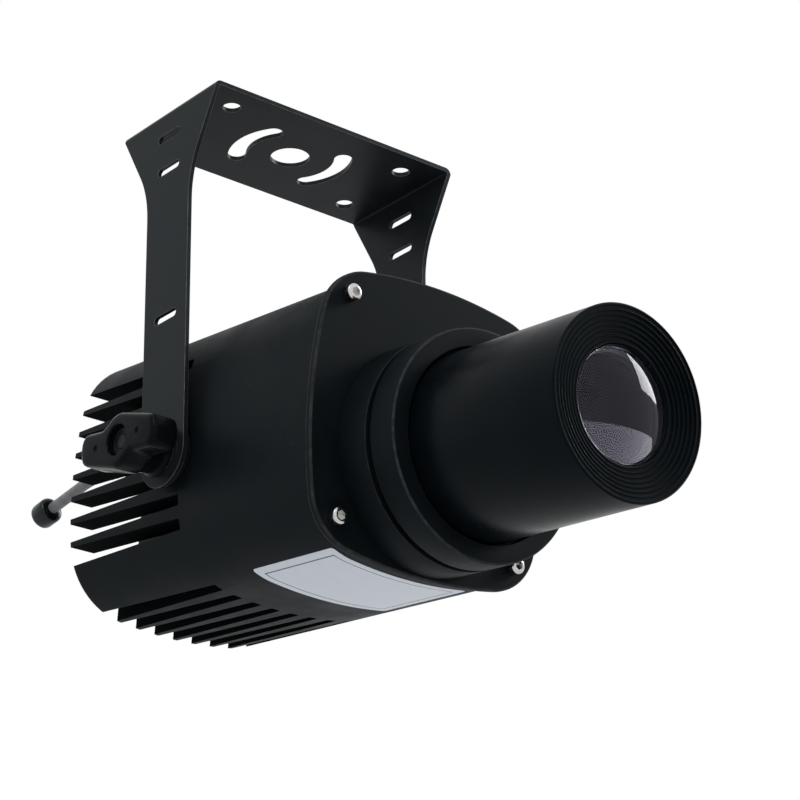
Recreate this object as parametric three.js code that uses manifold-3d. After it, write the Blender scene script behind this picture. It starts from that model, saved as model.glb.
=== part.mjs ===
// Gobo projector: an LED lamp head with a focusing lens barrel, hung in a sheet-metal yoke.
// Millimetres, +Z up, the lens looks along -Y and X runs across.
// The origin is the middle of the hanging hole, on the yoke's top face.
// The head's own frame has Y = 0 at the tilt axis and Z = 0 at the middle of the housing.
import * as THREE from 'three';
import { mergeVertices } from 'three/addons/utils/BufferGeometryUtils.js';
import Module from 'manifold-3d';

const wasm = await Module();
wasm.setup();

// Clearance between two pieces that touch
const FIT = 0.3;

// Yoke
const YOKE_DEPTH = 67;
const YOKE_SHEET = 2;
const YOKE_BEND_RADIUS = 3;
const TILT_AXIS_DROP = 160.5;
const ARM_HALF_WIDTH = 15;
const ARM_FLARE_RADIUS = 47;
const ARM_FLARE_ANGLE = 0.51;
const ARM_CORNER_DROP = 3;
const HANGING_HOLE_RADIUS = 8.75;
const CORNER_HOLE_RADIUS = 4;
const CORNER_HOLE_X = 47.4;
const CORNER_HOLE_Y = 20.2;
const ARC_SLOT_RADIUS = 23.8;
const ARC_SLOT_WIDTH = 8;
const ARC_SLOT_HALF_ANGLE = 0.61;
const ARM_SLOT_LENGTH = 15.5;
const ARM_SLOT_HEIGHT = 3.6;
const ARM_SLOT_DROPS = [13.2, 29.1, 99.2];

// Housing
const HEAD_TILT = 0.107;
const TILT_AXIS_BELOW_MIDDLE = 5.6;
const HOUSING_WALL = 10.5;
const HOUSING_MOUNT_MARGIN = 12.8;
const HOUSING_SIDE_RADIUS = 210;
const HOUSING_CORNER_RADIUS = 33;
const HOUSING_REAR = 75.5;
const HOUSING_LENGTH = 165;
const CAVITY_SIDE_RADIUS = 130;
const CAVITY_CORNER_RADIUS = 14;
const SLOT_COUNT = 8;
const SLOT_PITCH = 9.9;
const SLOT_REAR_WIDTH = 7.7;
const SLOT_END_WIDTH = 4.5;
const SLOT_LENGTH = 79.5;
const PIVOT_SLOT_LENGTH = 62;
const PIVOT_BOSS_RADIUS = 15;
const PIVOT_BOSS_RISE = 0.4;

// Front cover and its screws
const COVER_THICKNESS = 3.5;
const COVER_OVERHANG = 1.2;
const COVER_CORNER_RADIUS = 24;
const COVER_EDGE_ROUND = 0.7;
const COVER_SCREW_INSET = 14.1;
const COVER_SCREW_LENGTH = 14;
const SCREW_SHANK_RADIUS = 2;
const SCREW_HEAD_RADIUS = 3.45;
const SCREW_HEAD_HEIGHT = 3.8;
const SCREW_SOCKET_RADIUS = 2;
const SCREW_SOCKET_DEPTH = 2.2;

// Lens mount, on an axis below the middle of the housing
const LENS_AXIS_BELOW_MIDDLE = 12.7;
const MOUNT_WALL = 3.2;
const MOUNT_LENGTH = 16.6;
const MOUNT_FLOOR = 5;
const MOUNT_GROOVE = 3.2;
const MOUNT_BOLT_CIRCLE = 30;
const MOUNT_SCREW_RADIUS = 1.5;
const MOUNT_SCREW_HEAD_RADIUS = 2.8;
const LIGHT_HOLE_RADIUS = 15;

// Gobo
const GOBO_RADIUS = 18.8;
const GOBO_THICKNESS = 1.1;
const GOBO_POCKET_DEPTH = 3;
const GOBO_CLIP_THICKNESS = 1;
const GOBO_CLIP_WIDTH = 2.4;
const GOBO_CLIP_OPENING = 0.45;

// Collar that holds the barrel
const COLLAR_WALL = 5.2;
const COLLAR_LENGTH = 13.6;
const COLLAR_NECK_LENGTH = 14;
const COLLAR_GUIDE_LENGTH = 22.5;
const COLLAR_EDGE_CHAMFER = 0.6;

// Lens barrel
const BARREL_RADIUS = 38.2;
const BARREL_LENGTH = 99.6;
const BARREL_SETBACK = 7.6;
const BARREL_WALL = 4.7;
const BARREL_MOUTH_CLEARANCE = 1.5;
const BARREL_RIM = 1.2;
const RIB_COUNT = 7;
const RIB_CONE_DEPTH = 3.4;
const LENS_OPENING_RADIUS = 23.8;
const REAR_CELL_SHARE = 0.43;
const CELL_LEDGE = 3;

// Lenses and their rings
const FRONT_LENS_RADIUS = 23;
const FRONT_LENS_EDGE = 5;
const FRONT_LENS_BULGE = 4.5;
const FRONT_LENS_RIM = 1.8;
const FRONT_RETAINER_LENGTH = 1.5;
const FRONT_RETAINER_WIDTH = 1.4;
const REAR_RETAINER_LENGTH = 3;
const REAR_RETAINER_WIDTH = 3.2;
const REAR_LENS_EDGE = 3;
const REAR_LENS_BULGE = 4;
const LENS_RINGS = 4;
const LENS_RIM = 3.4;

// LED, its heat sink and the condenser
const SINK_PLATE = 6;
const SINK_FIN_DEPTH = 22;
const SINK_FIN_THICKNESS = 1.6;
const SINK_POST_GAP = 4.65;
const SINK_FIN_HEIGHT = 42;
const SINK_FIN_COUNT = 7;
const LED_BOARD = 24;
const LED_BOARD_THICKNESS = 1.6;
const LED_DOME_RADIUS = 7;
const LED_DOME_HEIGHT = 1;
const CONDENSER_RADIUS = 24;
const CONDENSER_LENGTH = 40;
const CONDENSER_COVER_GAP = 9.5;
const CONDENSER_FLANGE_RADIUS = 31;
const CONDENSER_FLANGE = 3;
const CONDENSER_LENS_RADIUS = 20;
const CONDENSER_LENS_EDGE = 2.5;
const CONDENSER_BULGE = 7;
const CONDENSER_LEDGE = 10;
const CONDENSER_SPACER_LENGTH = 8.5;
const CONDENSER_RING_LENGTH = 2.5;
const CONDENSER_SCREW_CIRCLE = 27.5;

// Driver, fan and its posts
const DRIVER_POST_GAP = 1.45;
const DRIVER_HEIGHT = 20;
const DRIVER_LENGTH = 30;
const DRIVER_FAN_GAP = 5.3;
const DRIVER_EDGE_ROUND = 1.5;
const FAN_SIZE = 80;
const FAN_DEPTH = 25;
const FAN_SETBACK = 25.2;
const FAN_MARGIN = 9.5;
const FAN_CORNER_RADIUS = 4;
const FAN_RIM = 2;
const FAN_SCREW_INSET = 4.25;
const FAN_HUB_RADIUS = 17;
const FAN_BASE_THICKNESS = 3;
const FAN_STRUT_COUNT = 4;
const FAN_STRUT_WIDTH = 4;
const FAN_BLADE_COUNT = 7;
const FAN_BLADE_ROOT = 15;
const FAN_TIP_GAP = 1.5;
const FAN_BLADE_THICKNESS = 1.4;
const FAN_BLADE_CHORD = 19;
const FAN_BLADE_PITCH = 0.7;
const POST_RADIUS = 3;
const FAN_SCREW_GRIP = 8;

// Tilt pivots and knobs
const INSERT_RADIUS = 7;
const INSERT_LENGTH = 9;
const STUD_RADIUS = 4;
const FRICTION_WASHER_RADIUS = 13;
const FRICTION_WASHER_THICKNESS = 2.75;
const KNOB_WASHER_RADIUS = 9.5;
const KNOB_WASHER_THICKNESS = 1.2;
const KNOB_HUB_RADIUS = 11;
const KNOB_HUB_FLARE = 1.2;
const KNOB_HUB_LENGTH = 8;
const KNOB_WING_DEPTH = 13;
const KNOB_WING_REACH = 26.5;
const KNOB_WING_ANGLE = -0.06;
const KNOB_EDGE_ROUND = 1.8;
const KNOB_RECESS_RADIUS = 6.5;
const KNOB_RECESS_DEPTH = 8;
const KNOB_DIMPLE_RADIUS = 1.8;
const KNOB_DIMPLE_REACH = 14.7;
const STUD_HEAD_RADIUS = 6.1;
const STUD_HEAD_HEIGHT = 5;
// One half of the knob's outline, in shares of the wing reach; the other half is it turned half round
const KNOB_OUTLINE_SHARES = [
  [1, 0.02], [0.985, 0.18], [0.93, 0.28], [0.85, 0.32], [0.4, 0.27], [0.27, 0.34],
  [0.14, 0.42], [-0.02, 0.45], [-0.18, 0.41], [-0.45, 0.33], [-0.86, 0.21], [-0.95, 0.16],
];

// Rating label
const LABEL_WIDTH = 69;
const LABEL_LENGTH = 52;
const LABEL_THICKNESS = 0.4;
const LABEL_X = -4.8;
const LABEL_INSET = 5;

// Power lead, its bracket, strain relief and round end
const LEAD_RADIUS = 2.5;
const LEAD_SIDES = 8;
const INNER_LEAD_STEPS = 24;
const LEAD_STEPS = 12;
const LEAD_X = -44.5;
const LEAD_Z = 5;
const BRACKET_SHEET = 1.5;
const BRACKET_SCREW_MARGIN = 4.75;
const BRACKET_TOP_MARGIN = 4.25;
const BRACKET_LEAD_MARGIN = 4.1;
const BRACKET_FOOT = 8;
const RELIEF_FLANGE_RADIUS = 4.4;
const RELIEF_FLANGE = 1.6;
const RELIEF_LENGTH = 20;
const RELIEF_TIP_RADIUS = 3.3;
const LEAD_END_RADIUS = 5.85;
const LEAD_END_LENGTH = 9.5;
const LEAD_END_ROUND = 3.2;
const LEAD_END_SOCKET_RADIUS = 2.2;
const LEAD_END_SOCKET_DEPTH = 5.5;
// Route of the lead inside the head, from the driver through the bracket to the relief's tip
const INNER_LEAD_ROUTE = [
  [-31.4, 0, 28.2], [-34.5, 0, 28.2], [-39.5, 4, 25], [-42.8, 12, 18], [-44.3, 22, 10],
  [LEAD_X, 32, 6], [LEAD_X, 44, LEAD_Z], [LEAD_X, 58, LEAD_Z], [LEAD_X, 72.4, LEAD_Z],
];
// Route of the free lead in the head's frame, from the relief's tip to the round end
const LEAD_ROUTE = [
  [LEAD_X, 72.7, LEAD_Z], [LEAD_X, 75.5, LEAD_Z], [-44.51, 78.3, 4.95], [-44.54, 81.1, 4.76],
  [-44.59, 83.9, 4.42], [-44.66, 86.7, 3.93], [-44.76, 89.5, 3.29], [-44.87, 92.3, 2.51],
  [-45, 95.1, 1.67], [-45.13, 97.9, 0.83], [-45.25, 100.7, -0.01], [-45.38, 103.5, -0.85],
  [-45.5, 106.3, -1.69], [-45.63, 109.1, -2.53], [-45.78, 112.5, -3.55],
];

// How many straight pieces round things are cut into
const ROUND_SEGMENTS = 36;
const MEDIUM_SEGMENTS = 20;
const SMALL_SEGMENTS = 12;
const SLOT_END_STEPS = 6;
const HEXAGON = 6;
const SIDE_STEPS = 6;
const CORNER_STEPS = 4;

// Sizes that follow from the barrel, the fan and the walls round them
const MOUNT_THREAD_RADIUS = BARREL_RADIUS + 2 * FIT + COLLAR_WALL;
const MOUNT_RADIUS = MOUNT_THREAD_RADIUS + MOUNT_WALL;
const FAN_BORE_RADIUS = FAN_SIZE / 2 - FAN_RIM;
const FAN_SCREW_SPACING = FAN_SIZE - 2 * FAN_SCREW_INSET;
const FAN_BLADE_TIP = FAN_BORE_RADIUS - FAN_TIP_GAP;
const BETWEEN_POSTS = FAN_SCREW_SPACING - 2 * (POST_RADIUS + FIT);
const SINK_FIN_PITCH = (BETWEEN_POSTS - 2 * SINK_POST_GAP - SINK_FIN_THICKNESS) / (SINK_FIN_COUNT - 1);
const DRIVER_WIDTH = BETWEEN_POSTS - 2 * DRIVER_POST_GAP;
// The housing is as wide as its lens mount or its fan needs, whichever needs more
const HOUSING_HALF_WIDTH = Math.max(
  MOUNT_RADIUS + HOUSING_MOUNT_MARGIN, FAN_SIZE / 2 + FAN_MARGIN + HOUSING_WALL);
const CAVITY_HALF_WIDTH = HOUSING_HALF_WIDTH - HOUSING_WALL;
const COVER_SCREW_SPACING = 2 * (HOUSING_HALF_WIDTH - COVER_SCREW_INSET);

// Places that follow from the sizes above
const HOUSING_FRONT = HOUSING_REAR - HOUSING_LENGTH;
const COVER_REAR = HOUSING_FRONT - FIT;
const COVER_FRONT = COVER_REAR - COVER_THICKNESS;
const MOUNT_REAR = COVER_FRONT - FIT;
const MOUNT_FRONT = MOUNT_REAR - MOUNT_LENGTH;
const MOUNT_INNER_FLOOR = MOUNT_REAR - MOUNT_FLOOR;
const COLLAR_REAR = MOUNT_FRONT - MOUNT_GROOVE;
const COLLAR_FRONT = COLLAR_REAR - COLLAR_LENGTH;
const COLLAR_NECK_REAR = COLLAR_REAR + COLLAR_NECK_LENGTH;
const BARREL_REAR = COLLAR_NECK_REAR - BARREL_SETBACK;
const BARREL_FRONT = BARREL_LENGTH - BARREL_REAR;
const FRONT_SEAT = RIB_CONE_DEPTH - BARREL_FRONT + FRONT_RETAINER_LENGTH + FRONT_LENS_EDGE + 3 * FIT;
const REAR_SEAT = BARREL_REAR - BARREL_LENGTH * REAR_CELL_SHARE;
const SINK_FACE = -(COVER_REAR + CONDENSER_COVER_GAP + CONDENSER_LENGTH + FIT);
const FAN_REAR = HOUSING_REAR - FAN_SETBACK;
const DRIVER_REAR = FAN_REAR - FAN_DEPTH - DRIVER_FAN_GAP;
const BOSS_X = HOUSING_HALF_WIDTH + PIVOT_BOSS_RISE;
const ARM_INNER_X = BOSS_X + FRICTION_WASHER_THICKNESS + 2 * FIT;
const ARM_OUTER_X = ARM_INNER_X + YOKE_SHEET;
const YOKE_WIDTH = 2 * ARM_OUTER_X;
const LENS_Z = -LENS_AXIS_BELOW_MIDDLE;
const PIVOT_Z = -TILT_AXIS_BELOW_MIDDLE;

// Colours and finishes, read from the photograph
const FINISHES = {
  yoke: { color: 0x282b2e, roughness: 0.42, metalness: 0.3 },
  housing: { color: 0x1e2124, roughness: 0.5, metalness: 0.35 },
  barrel: { color: 0x12161a, roughness: 0.35, metalness: 0.5 },
  knob: { color: 0x1c1f22, roughness: 0.4, metalness: 0 },
  blackPlastic: { color: 0x17191c, roughness: 0.55, metalness: 0 },
  steel: { color: 0xc4c6c8, roughness: 0.25, metalness: 1 },
  aluminium: { color: 0x9da1a5, roughness: 0.4, metalness: 1 },
  glass: { color: 0x565a6e, roughness: 0.04, metalness: 0 },
  fibre: { color: 0x2a2724, roughness: 0.8, metalness: 0 },
  led: { color: 0xd9c24a, roughness: 0.5, metalness: 0 },
  driver: { color: 0xb9bcbf, roughness: 0.45, metalness: 0.9 },
  label: { color: 0xb7c1d0, roughness: 0.35, metalness: 0 },
  lead: { color: 0x74767a, roughness: 0.5, metalness: 0 },
};

// Removes the triangles that a profile leaves where it meets its axis.
function dropFlatTriangles(index) {
  const kept = [];
  for (let i = 0; i < index.length; i += 3) {
    const [a, b, c] = [index[i], index[i + 1], index[i + 2]];
    if (a !== b && b !== c && c !== a) kept.push(a, b, c);
  }
  return kept;
}

// Six times the volume inside a triangle list; negative when its faces point inwards.
function signedVolume(positions, triangles) {
  const [a, b, c] = [new THREE.Vector3(), new THREE.Vector3(), new THREE.Vector3()];
  let sum = 0;
  for (let i = 0; i < triangles.length; i += 3) {
    a.fromArray(positions, triangles[i] * 3);
    b.fromArray(positions, triangles[i + 1] * 3);
    c.fromArray(positions, triangles[i + 2] * 3);
    sum += a.dot(b.cross(c));
  }
  return sum;
}

// Turns a three.js geometry into a solid that can be joined and cut.
function solid(geometry) {
  const plain = geometry.clone();
  plain.deleteAttribute('normal');
  plain.deleteAttribute('uv');
  const merged = mergeVertices(plain);
  const positions = merged.attributes.position.array;
  const triangles = dropFlatTriangles(merged.index.array);
  if (signedVolume(positions, triangles) < 0) triangles.reverse();
  return new wasm.Manifold(new wasm.Mesh({
    numProp: 3,
    vertProperties: new Float32Array(positions),
    triVerts: new Uint32Array(triangles),
  }));
}

// Turns a solid back into a geometry that three.js can draw.
function geometryOf(body) {
  const mesh = body.getMesh();
  const geometry = new THREE.BufferGeometry();
  geometry.setAttribute('position', new THREE.BufferAttribute(mesh.vertProperties, 3));
  geometry.setIndex(new THREE.BufferAttribute(mesh.triVerts, 1));
  geometry.computeVertexNormals();
  return geometry;
}

// One named piece with its finish.
function piece(name, body, finish) {
  const mesh = new THREE.Mesh(geometryOf(body), new THREE.MeshStandardMaterial(FINISHES[finish]));
  mesh.name = name;
  return mesh;
}

function joined(bodies) {
  return bodies.reduce((sum, body) => sum.add(body));
}

function without(body, cutters) {
  return cutters.reduce((rest, cutter) => rest.subtract(cutter), body);
}

// Points along an arc, both ends included.
function arc(x, y, radius, from, to, steps) {
  const points = [];
  for (let i = 0; i <= steps; i += 1) {
    const angle = from + ((to - from) * i) / steps;
    points.push(new THREE.Vector2(x + radius * Math.cos(angle), y + radius * Math.sin(angle)));
  }
  return points;
}

function circle(x, y, radius, segments = ROUND_SEGMENTS) {
  return arc(x, y, radius, 0, 2 * Math.PI, segments).slice(0, -1);
}

function rectangle(x0, x1, y0, y1) {
  return [[x0, y0], [x1, y0], [x1, y1], [x0, y1]].map(([x, y]) => new THREE.Vector2(x, y));
}

// A square with bulging sides and round corners, the section of the housing.
function bulgedSquare(halfWidth, sideRadius, cornerRadius) {
  const back = sideRadius - halfWidth;
  const reach = sideRadius - cornerRadius;
  const corner = (Math.sqrt(2 * reach * reach - back * back) - back) / 2;
  const turn = Math.atan2(corner, corner + back);
  const points = [];
  for (let quarter = 0; quarter < 4; quarter += 1) {
    const angle = (quarter * Math.PI) / 2;
    const side = arc(-back, 0, sideRadius, -turn, turn, SIDE_STEPS);
    const round = arc(corner, corner, cornerRadius, turn, Math.PI / 2 - turn, CORNER_STEPS);
    for (const point of [...side, ...round.slice(1, -1)]) {
      points.push(point.clone().rotateAround(new THREE.Vector2(), angle));
    }
  }
  return points;
}

// Extrudes an outline given as (x, y) along Z.
function alongZ(points, z0, z1) {
  const geometry = new THREE.ExtrudeGeometry(new THREE.Shape(points), {
    depth: z1 - z0, bevelEnabled: false,
  });
  return solid(geometry.translate(0, 0, z0));
}

// Extrudes an outline given as (x, z) along Y.
function alongY(points, y0, y1) {
  const geometry = new THREE.ExtrudeGeometry(new THREE.Shape(points), {
    depth: y1 - y0, bevelEnabled: false,
  });
  return solid(geometry.rotateX(Math.PI / 2).translate(0, y1, 0));
}

// Turns an extrusion so that its outline lies in Y and Z and its depth runs along X.
const DEPTH_ALONG_X = new THREE.Matrix4().makeBasis(
  new THREE.Vector3(0, 1, 0), new THREE.Vector3(0, 0, 1), new THREE.Vector3(1, 0, 0));

// Extrudes an outline given as (y, z) along X.
function alongX(points, x0, x1) {
  const geometry = new THREE.ExtrudeGeometry(new THREE.Shape(points), {
    depth: x1 - x0, bevelEnabled: false,
  });
  return solid(geometry.applyMatrix4(DEPTH_ALONG_X).translate(x0, 0, 0));
}

// A block between two corners.
function block(x0, x1, y0, y1, z0, z1) {
  return alongZ(rectangle(x0, x1, y0, y1), z0, z1);
}

// Spins a closed profile of [radius, y] pairs round the Y axis, then moves it to (x, z).
function turned(profile, x = 0, z = 0, segments = ROUND_SEGMENTS) {
  const closed = [...profile, profile[0]].map(([radius, y]) => new THREE.Vector2(radius, y));
  return solid(new THREE.LatheGeometry(closed, segments).translate(x, 0, z));
}

// A plain disc or rod along Y.
function rodY(radius, y0, y1, x = 0, z = 0, segments = SMALL_SEGMENTS) {
  return turned([[0, y0], [radius, y0], [radius, y1], [0, y1]], x, z, segments);
}

// A plain ring or tube along Y.
function ringY(outer, inner, y0, y1, x = 0, z = 0, segments = ROUND_SEGMENTS) {
  return turned([[inner, y0], [outer, y0], [outer, y1], [inner, y1]], x, z, segments);
}

// A disc or rod along X, from x0 to x1 on the tilt axis.
function rodX(radius, x0, x1, segments = ROUND_SEGMENTS) {
  return alongX(circle(0, PIVOT_Z, radius, segments), x0, x1);
}

// Places spread evenly round a circle of the given radius.
function roundPlaces(count, radius, start = 0) {
  return Array.from({ length: count }, (unused, i) => {
    const angle = start + (2 * Math.PI * i) / count;
    return [radius * Math.cos(angle), radius * Math.sin(angle)];
  });
}

// The four corners of a square of the given side.
function squarePlaces(side) {
  const half = side / 2;
  return [[-half, half], [half, half], [-half, -half], [half, -half]];
}

// The yoke seen from the side: a narrow round-ended arm that flares to the plate's full depth.
function yokeSideOutline() {
  const halfDepth = YOKE_DEPTH / 2;
  const flareX = ARM_HALF_WIDTH + ARM_FLARE_RADIUS;
  const slopeX = flareX - ARM_FLARE_RADIUS * Math.cos(ARM_FLARE_ANGLE);
  const slopeZ = -ARM_CORNER_DROP - (halfDepth - slopeX) / Math.tan(ARM_FLARE_ANGLE);
  const flareZ = slopeZ - ARM_FLARE_RADIUS * Math.sin(ARM_FLARE_ANGLE);
  const curve = arc(flareX, flareZ, ARM_FLARE_RADIUS, Math.PI, Math.PI - ARM_FLARE_ANGLE, CORNER_STEPS);
  const corner = new THREE.Vector2(halfDepth, -ARM_CORNER_DROP);
  const right = [...curve, corner, new THREE.Vector2(halfDepth, 0)];
  const left = right.map((point) => new THREE.Vector2(-point.x, point.y)).reverse();
  const end = arc(0, -TILT_AXIS_DROP, ARM_HALF_WIDTH, Math.PI, 2 * Math.PI, MEDIUM_SEGMENTS);
  return [...right, ...left, ...end];
}

// The yoke seen from the front: a plate with two arms bent down from it.
function yokeFrontOutline() {
  const bottom = -TILT_AXIS_DROP - ARM_HALF_WIDTH;
  const outer = [
    ...arc(ARM_OUTER_X - YOKE_BEND_RADIUS, -YOKE_BEND_RADIUS, YOKE_BEND_RADIUS, 0, Math.PI / 2, CORNER_STEPS),
    ...arc(YOKE_BEND_RADIUS - ARM_OUTER_X, -YOKE_BEND_RADIUS, YOKE_BEND_RADIUS, Math.PI / 2, Math.PI, CORNER_STEPS),
  ];
  const innerRadius = YOKE_BEND_RADIUS - YOKE_SHEET;
  const inner = [
    ...arc(YOKE_BEND_RADIUS - ARM_OUTER_X, -YOKE_BEND_RADIUS, innerRadius, Math.PI, Math.PI / 2, CORNER_STEPS),
    ...arc(ARM_OUTER_X - YOKE_BEND_RADIUS, -YOKE_BEND_RADIUS, innerRadius, Math.PI / 2, 0, CORNER_STEPS),
  ];
  const leg = (x) => new THREE.Vector2(x, bottom);
  return [leg(ARM_OUTER_X), ...outer, leg(-ARM_OUTER_X), leg(-ARM_INNER_X), ...inner, leg(ARM_INNER_X)];
}

// A curved bolt slot round the hanging hole.
function arcSlotOutline(middle) {
  const half = ARC_SLOT_WIDTH / 2;
  const [from, to] = [middle - ARC_SLOT_HALF_ANGLE, middle + ARC_SLOT_HALF_ANGLE];
  const endAt = (angle) => [ARC_SLOT_RADIUS * Math.cos(angle), ARC_SLOT_RADIUS * Math.sin(angle)];
  return [
    ...arc(0, 0, ARC_SLOT_RADIUS + half, from, to, SLOT_END_STEPS),
    ...arc(...endAt(to), half, to, to + Math.PI, CORNER_STEPS).slice(1, -1),
    ...arc(0, 0, ARC_SLOT_RADIUS - half, to, from, SLOT_END_STEPS),
    ...arc(...endAt(from), half, from + Math.PI, from + 2 * Math.PI, CORNER_STEPS).slice(1, -1),
  ];
}

// A straight slot with round ends, in the arms.
function armSlotOutline(drop) {
  const half = ARM_SLOT_HEIGHT / 2;
  const reach = ARM_SLOT_LENGTH / 2 - half;
  return [
    ...arc(reach, -drop, half, -Math.PI / 2, Math.PI / 2, CORNER_STEPS),
    ...arc(-reach, -drop, half, Math.PI / 2, (3 * Math.PI) / 2, CORNER_STEPS),
  ];
}

function yoke() {
  const bent = alongY(yokeFrontOutline(), -YOKE_DEPTH, YOKE_DEPTH);
  const cutOut = alongX(yokeSideOutline(), -YOKE_WIDTH, YOKE_WIDTH);
  const through = (points) => alongZ(points, -2 * YOKE_SHEET, YOKE_SHEET);
  const across = (points) => alongX(points, -YOKE_WIDTH, YOKE_WIDTH);
  const cornerHoles = [-1, 1].flatMap((x) => [-1, 1].map((y) => through(
    circle(x * CORNER_HOLE_X, y * CORNER_HOLE_Y, CORNER_HOLE_RADIUS, SMALL_SEGMENTS))));
  const holes = [
    through(circle(0, 0, HANGING_HOLE_RADIUS, MEDIUM_SEGMENTS)),
    through(arcSlotOutline(0)),
    through(arcSlotOutline(Math.PI)),
    ...cornerHoles,
    ...ARM_SLOT_DROPS.map((drop) => across(armSlotOutline(drop))),
    across(circle(0, -TILT_AXIS_DROP, STUD_RADIUS + FIT, SMALL_SEGMENTS)),
  ];
  return piece('yoke_bracket', without(bent.intersect(cutOut), holes), 'yoke');
}

// A cooling slot on the right-hand side, wide at the rear and narrow at its front end.
function coolingSlot(z, length) {
  const front = HOUSING_REAR - length;
  const growth = (SLOT_REAR_WIDTH - SLOT_END_WIDTH) / (2 * length);
  const rear = HOUSING_REAR + SLOT_PITCH;
  const rearHalf = SLOT_REAR_WIDTH / 2 + growth * SLOT_PITCH;
  const outline = [
    [front, z - SLOT_END_WIDTH / 2], [rear, z - rearHalf],
    [rear, z + rearHalf], [front, z + SLOT_END_WIDTH / 2],
  ].map(([y, height]) => new THREE.Vector2(y, height));
  const inner = CAVITY_HALF_WIDTH - CAVITY_CORNER_RADIUS;
  return alongX(outline, inner, HOUSING_HALF_WIDTH + SLOT_PITCH);
}

function coolingSlots() {
  const slots = [];
  for (let face = 0; face < 4; face += 1) {
    for (let i = 0; i < SLOT_COUNT; i += 1) {
      const z = (i - (SLOT_COUNT - 1) / 2) * SLOT_PITCH;
      const besidePivot = Math.abs(z * (face === 2 ? -1 : 1) - PIVOT_Z) < PIVOT_BOSS_RADIUS;
      const isSide = face % 2 === 0;
      const length = isSide && besidePivot ? PIVOT_SLOT_LENGTH : SLOT_LENGTH;
      slots.push(coolingSlot(z, length).rotate([0, face * 90, 0]));
    }
  }
  return slots;
}

function housing() {
  const outer = bulgedSquare(HOUSING_HALF_WIDTH, HOUSING_SIDE_RADIUS, HOUSING_CORNER_RADIUS);
  const cavity = bulgedSquare(CAVITY_HALF_WIDTH, CAVITY_SIDE_RADIUS, CAVITY_CORNER_RADIUS);
  const shell = alongY(outer, HOUSING_FRONT, HOUSING_REAR)
    .add(rodX(PIVOT_BOSS_RADIUS, -BOSS_X, BOSS_X));
  const screwHoles = squarePlaces(COVER_SCREW_SPACING).map(([x, z]) => rodY(
    SCREW_SHANK_RADIUS + FIT, HOUSING_FRONT - FIT, COVER_FRONT + COVER_SCREW_LENGTH + FIT, x, z));
  const cutters = [
    alongY(cavity, HOUSING_FRONT - SLOT_PITCH, HOUSING_REAR + SLOT_PITCH),
    ...coolingSlots(),
    ...screwHoles,
    rodX(INSERT_RADIUS + FIT, -2 * BOSS_X, 2 * BOSS_X, SMALL_SEGMENTS),
  ];
  return piece('housing', without(shell, cutters), 'housing');
}

// A plate along Y with its edges rounded off.
function softPlate(points, y0, y1, round) {
  const geometry = new THREE.ExtrudeGeometry(new THREE.Shape(points), {
    depth: y1 - y0 - 2 * round, bevelEnabled: true, bevelSegments: 1,
    bevelThickness: round, bevelSize: round, bevelOffset: -round,
  });
  return solid(geometry.rotateX(Math.PI / 2).translate(0, y1 - round, 0));
}

// Places of the screws that hold the lens mount, round the lens axis.
function mountScrewPlaces() {
  return roundPlaces(4, MOUNT_BOLT_CIRCLE, Math.PI / 4).map(([x, z]) => [x, z + LENS_Z]);
}

function frontCover() {
  const outline = bulgedSquare(
    HOUSING_HALF_WIDTH + COVER_OVERHANG, HOUSING_SIDE_RADIUS, COVER_CORNER_RADIUS);
  const [y0, y1] = [COVER_FRONT - FIT, COVER_REAR + FIT];
  const cutters = [
    rodY(LIGHT_HOLE_RADIUS, y0, y1, 0, LENS_Z, MEDIUM_SEGMENTS),
    ...squarePlaces(COVER_SCREW_SPACING).map(([x, z]) => rodY(SCREW_SHANK_RADIUS + FIT, y0, y1, x, z)),
    ...mountScrewPlaces().map(([x, z]) => rodY(MOUNT_SCREW_RADIUS + FIT, y0, y1, x, z)),
  ];
  const plate = softPlate(outline, COVER_FRONT, COVER_REAR, COVER_EDGE_ROUND);
  return piece('front_cover', without(plate, cutters), 'housing');
}

// A round-headed screw with a hexagon socket; its head sits on y and faces -Y.
function socketScrew(y, length, x, z) {
  const headTop = y - SCREW_HEAD_HEIGHT;
  const soft = SCREW_HEAD_HEIGHT / 4;
  const body = turned([
    [0, headTop], [SCREW_HEAD_RADIUS - soft, headTop], [SCREW_HEAD_RADIUS, headTop + soft],
    [SCREW_HEAD_RADIUS, y], [SCREW_SHANK_RADIUS, y], [SCREW_SHANK_RADIUS, y + length], [0, y + length],
  ], x, z, SMALL_SEGMENTS);
  const socket = rodY(SCREW_SOCKET_RADIUS, headTop - soft, headTop + SCREW_SOCKET_DEPTH, x, z, HEXAGON);
  return body.subtract(socket);
}

function coverScrews() {
  return squarePlaces(COVER_SCREW_SPACING).map(([x, z], i) => piece(
    `cover_screw_${i + 1}`, socketScrew(COVER_FRONT - FIT, COVER_SCREW_LENGTH, x, z), 'steel'));
}

// The fixed ring on the cover; its floor holds the gobo and its bore takes the collar.
function lensMount() {
  const pocketFloor = MOUNT_INNER_FLOOR + GOBO_POCKET_DEPTH;
  const pocket = GOBO_RADIUS + FIT;
  const ring = turned([
    [LIGHT_HOLE_RADIUS, MOUNT_REAR], [MOUNT_RADIUS, MOUNT_REAR],
    [MOUNT_RADIUS, MOUNT_FRONT], [MOUNT_THREAD_RADIUS, MOUNT_FRONT],
    [MOUNT_THREAD_RADIUS, MOUNT_INNER_FLOOR], [pocket, MOUNT_INNER_FLOOR],
    [pocket, pocketFloor], [LIGHT_HOLE_RADIUS, pocketFloor],
  ], 0, LENS_Z);
  const screwSeats = mountScrewPlaces().map(([x, z]) => mountScrewBody(x, z, FIT));
  return piece('lens_mount', without(ring, screwSeats), 'housing');
}

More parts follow.
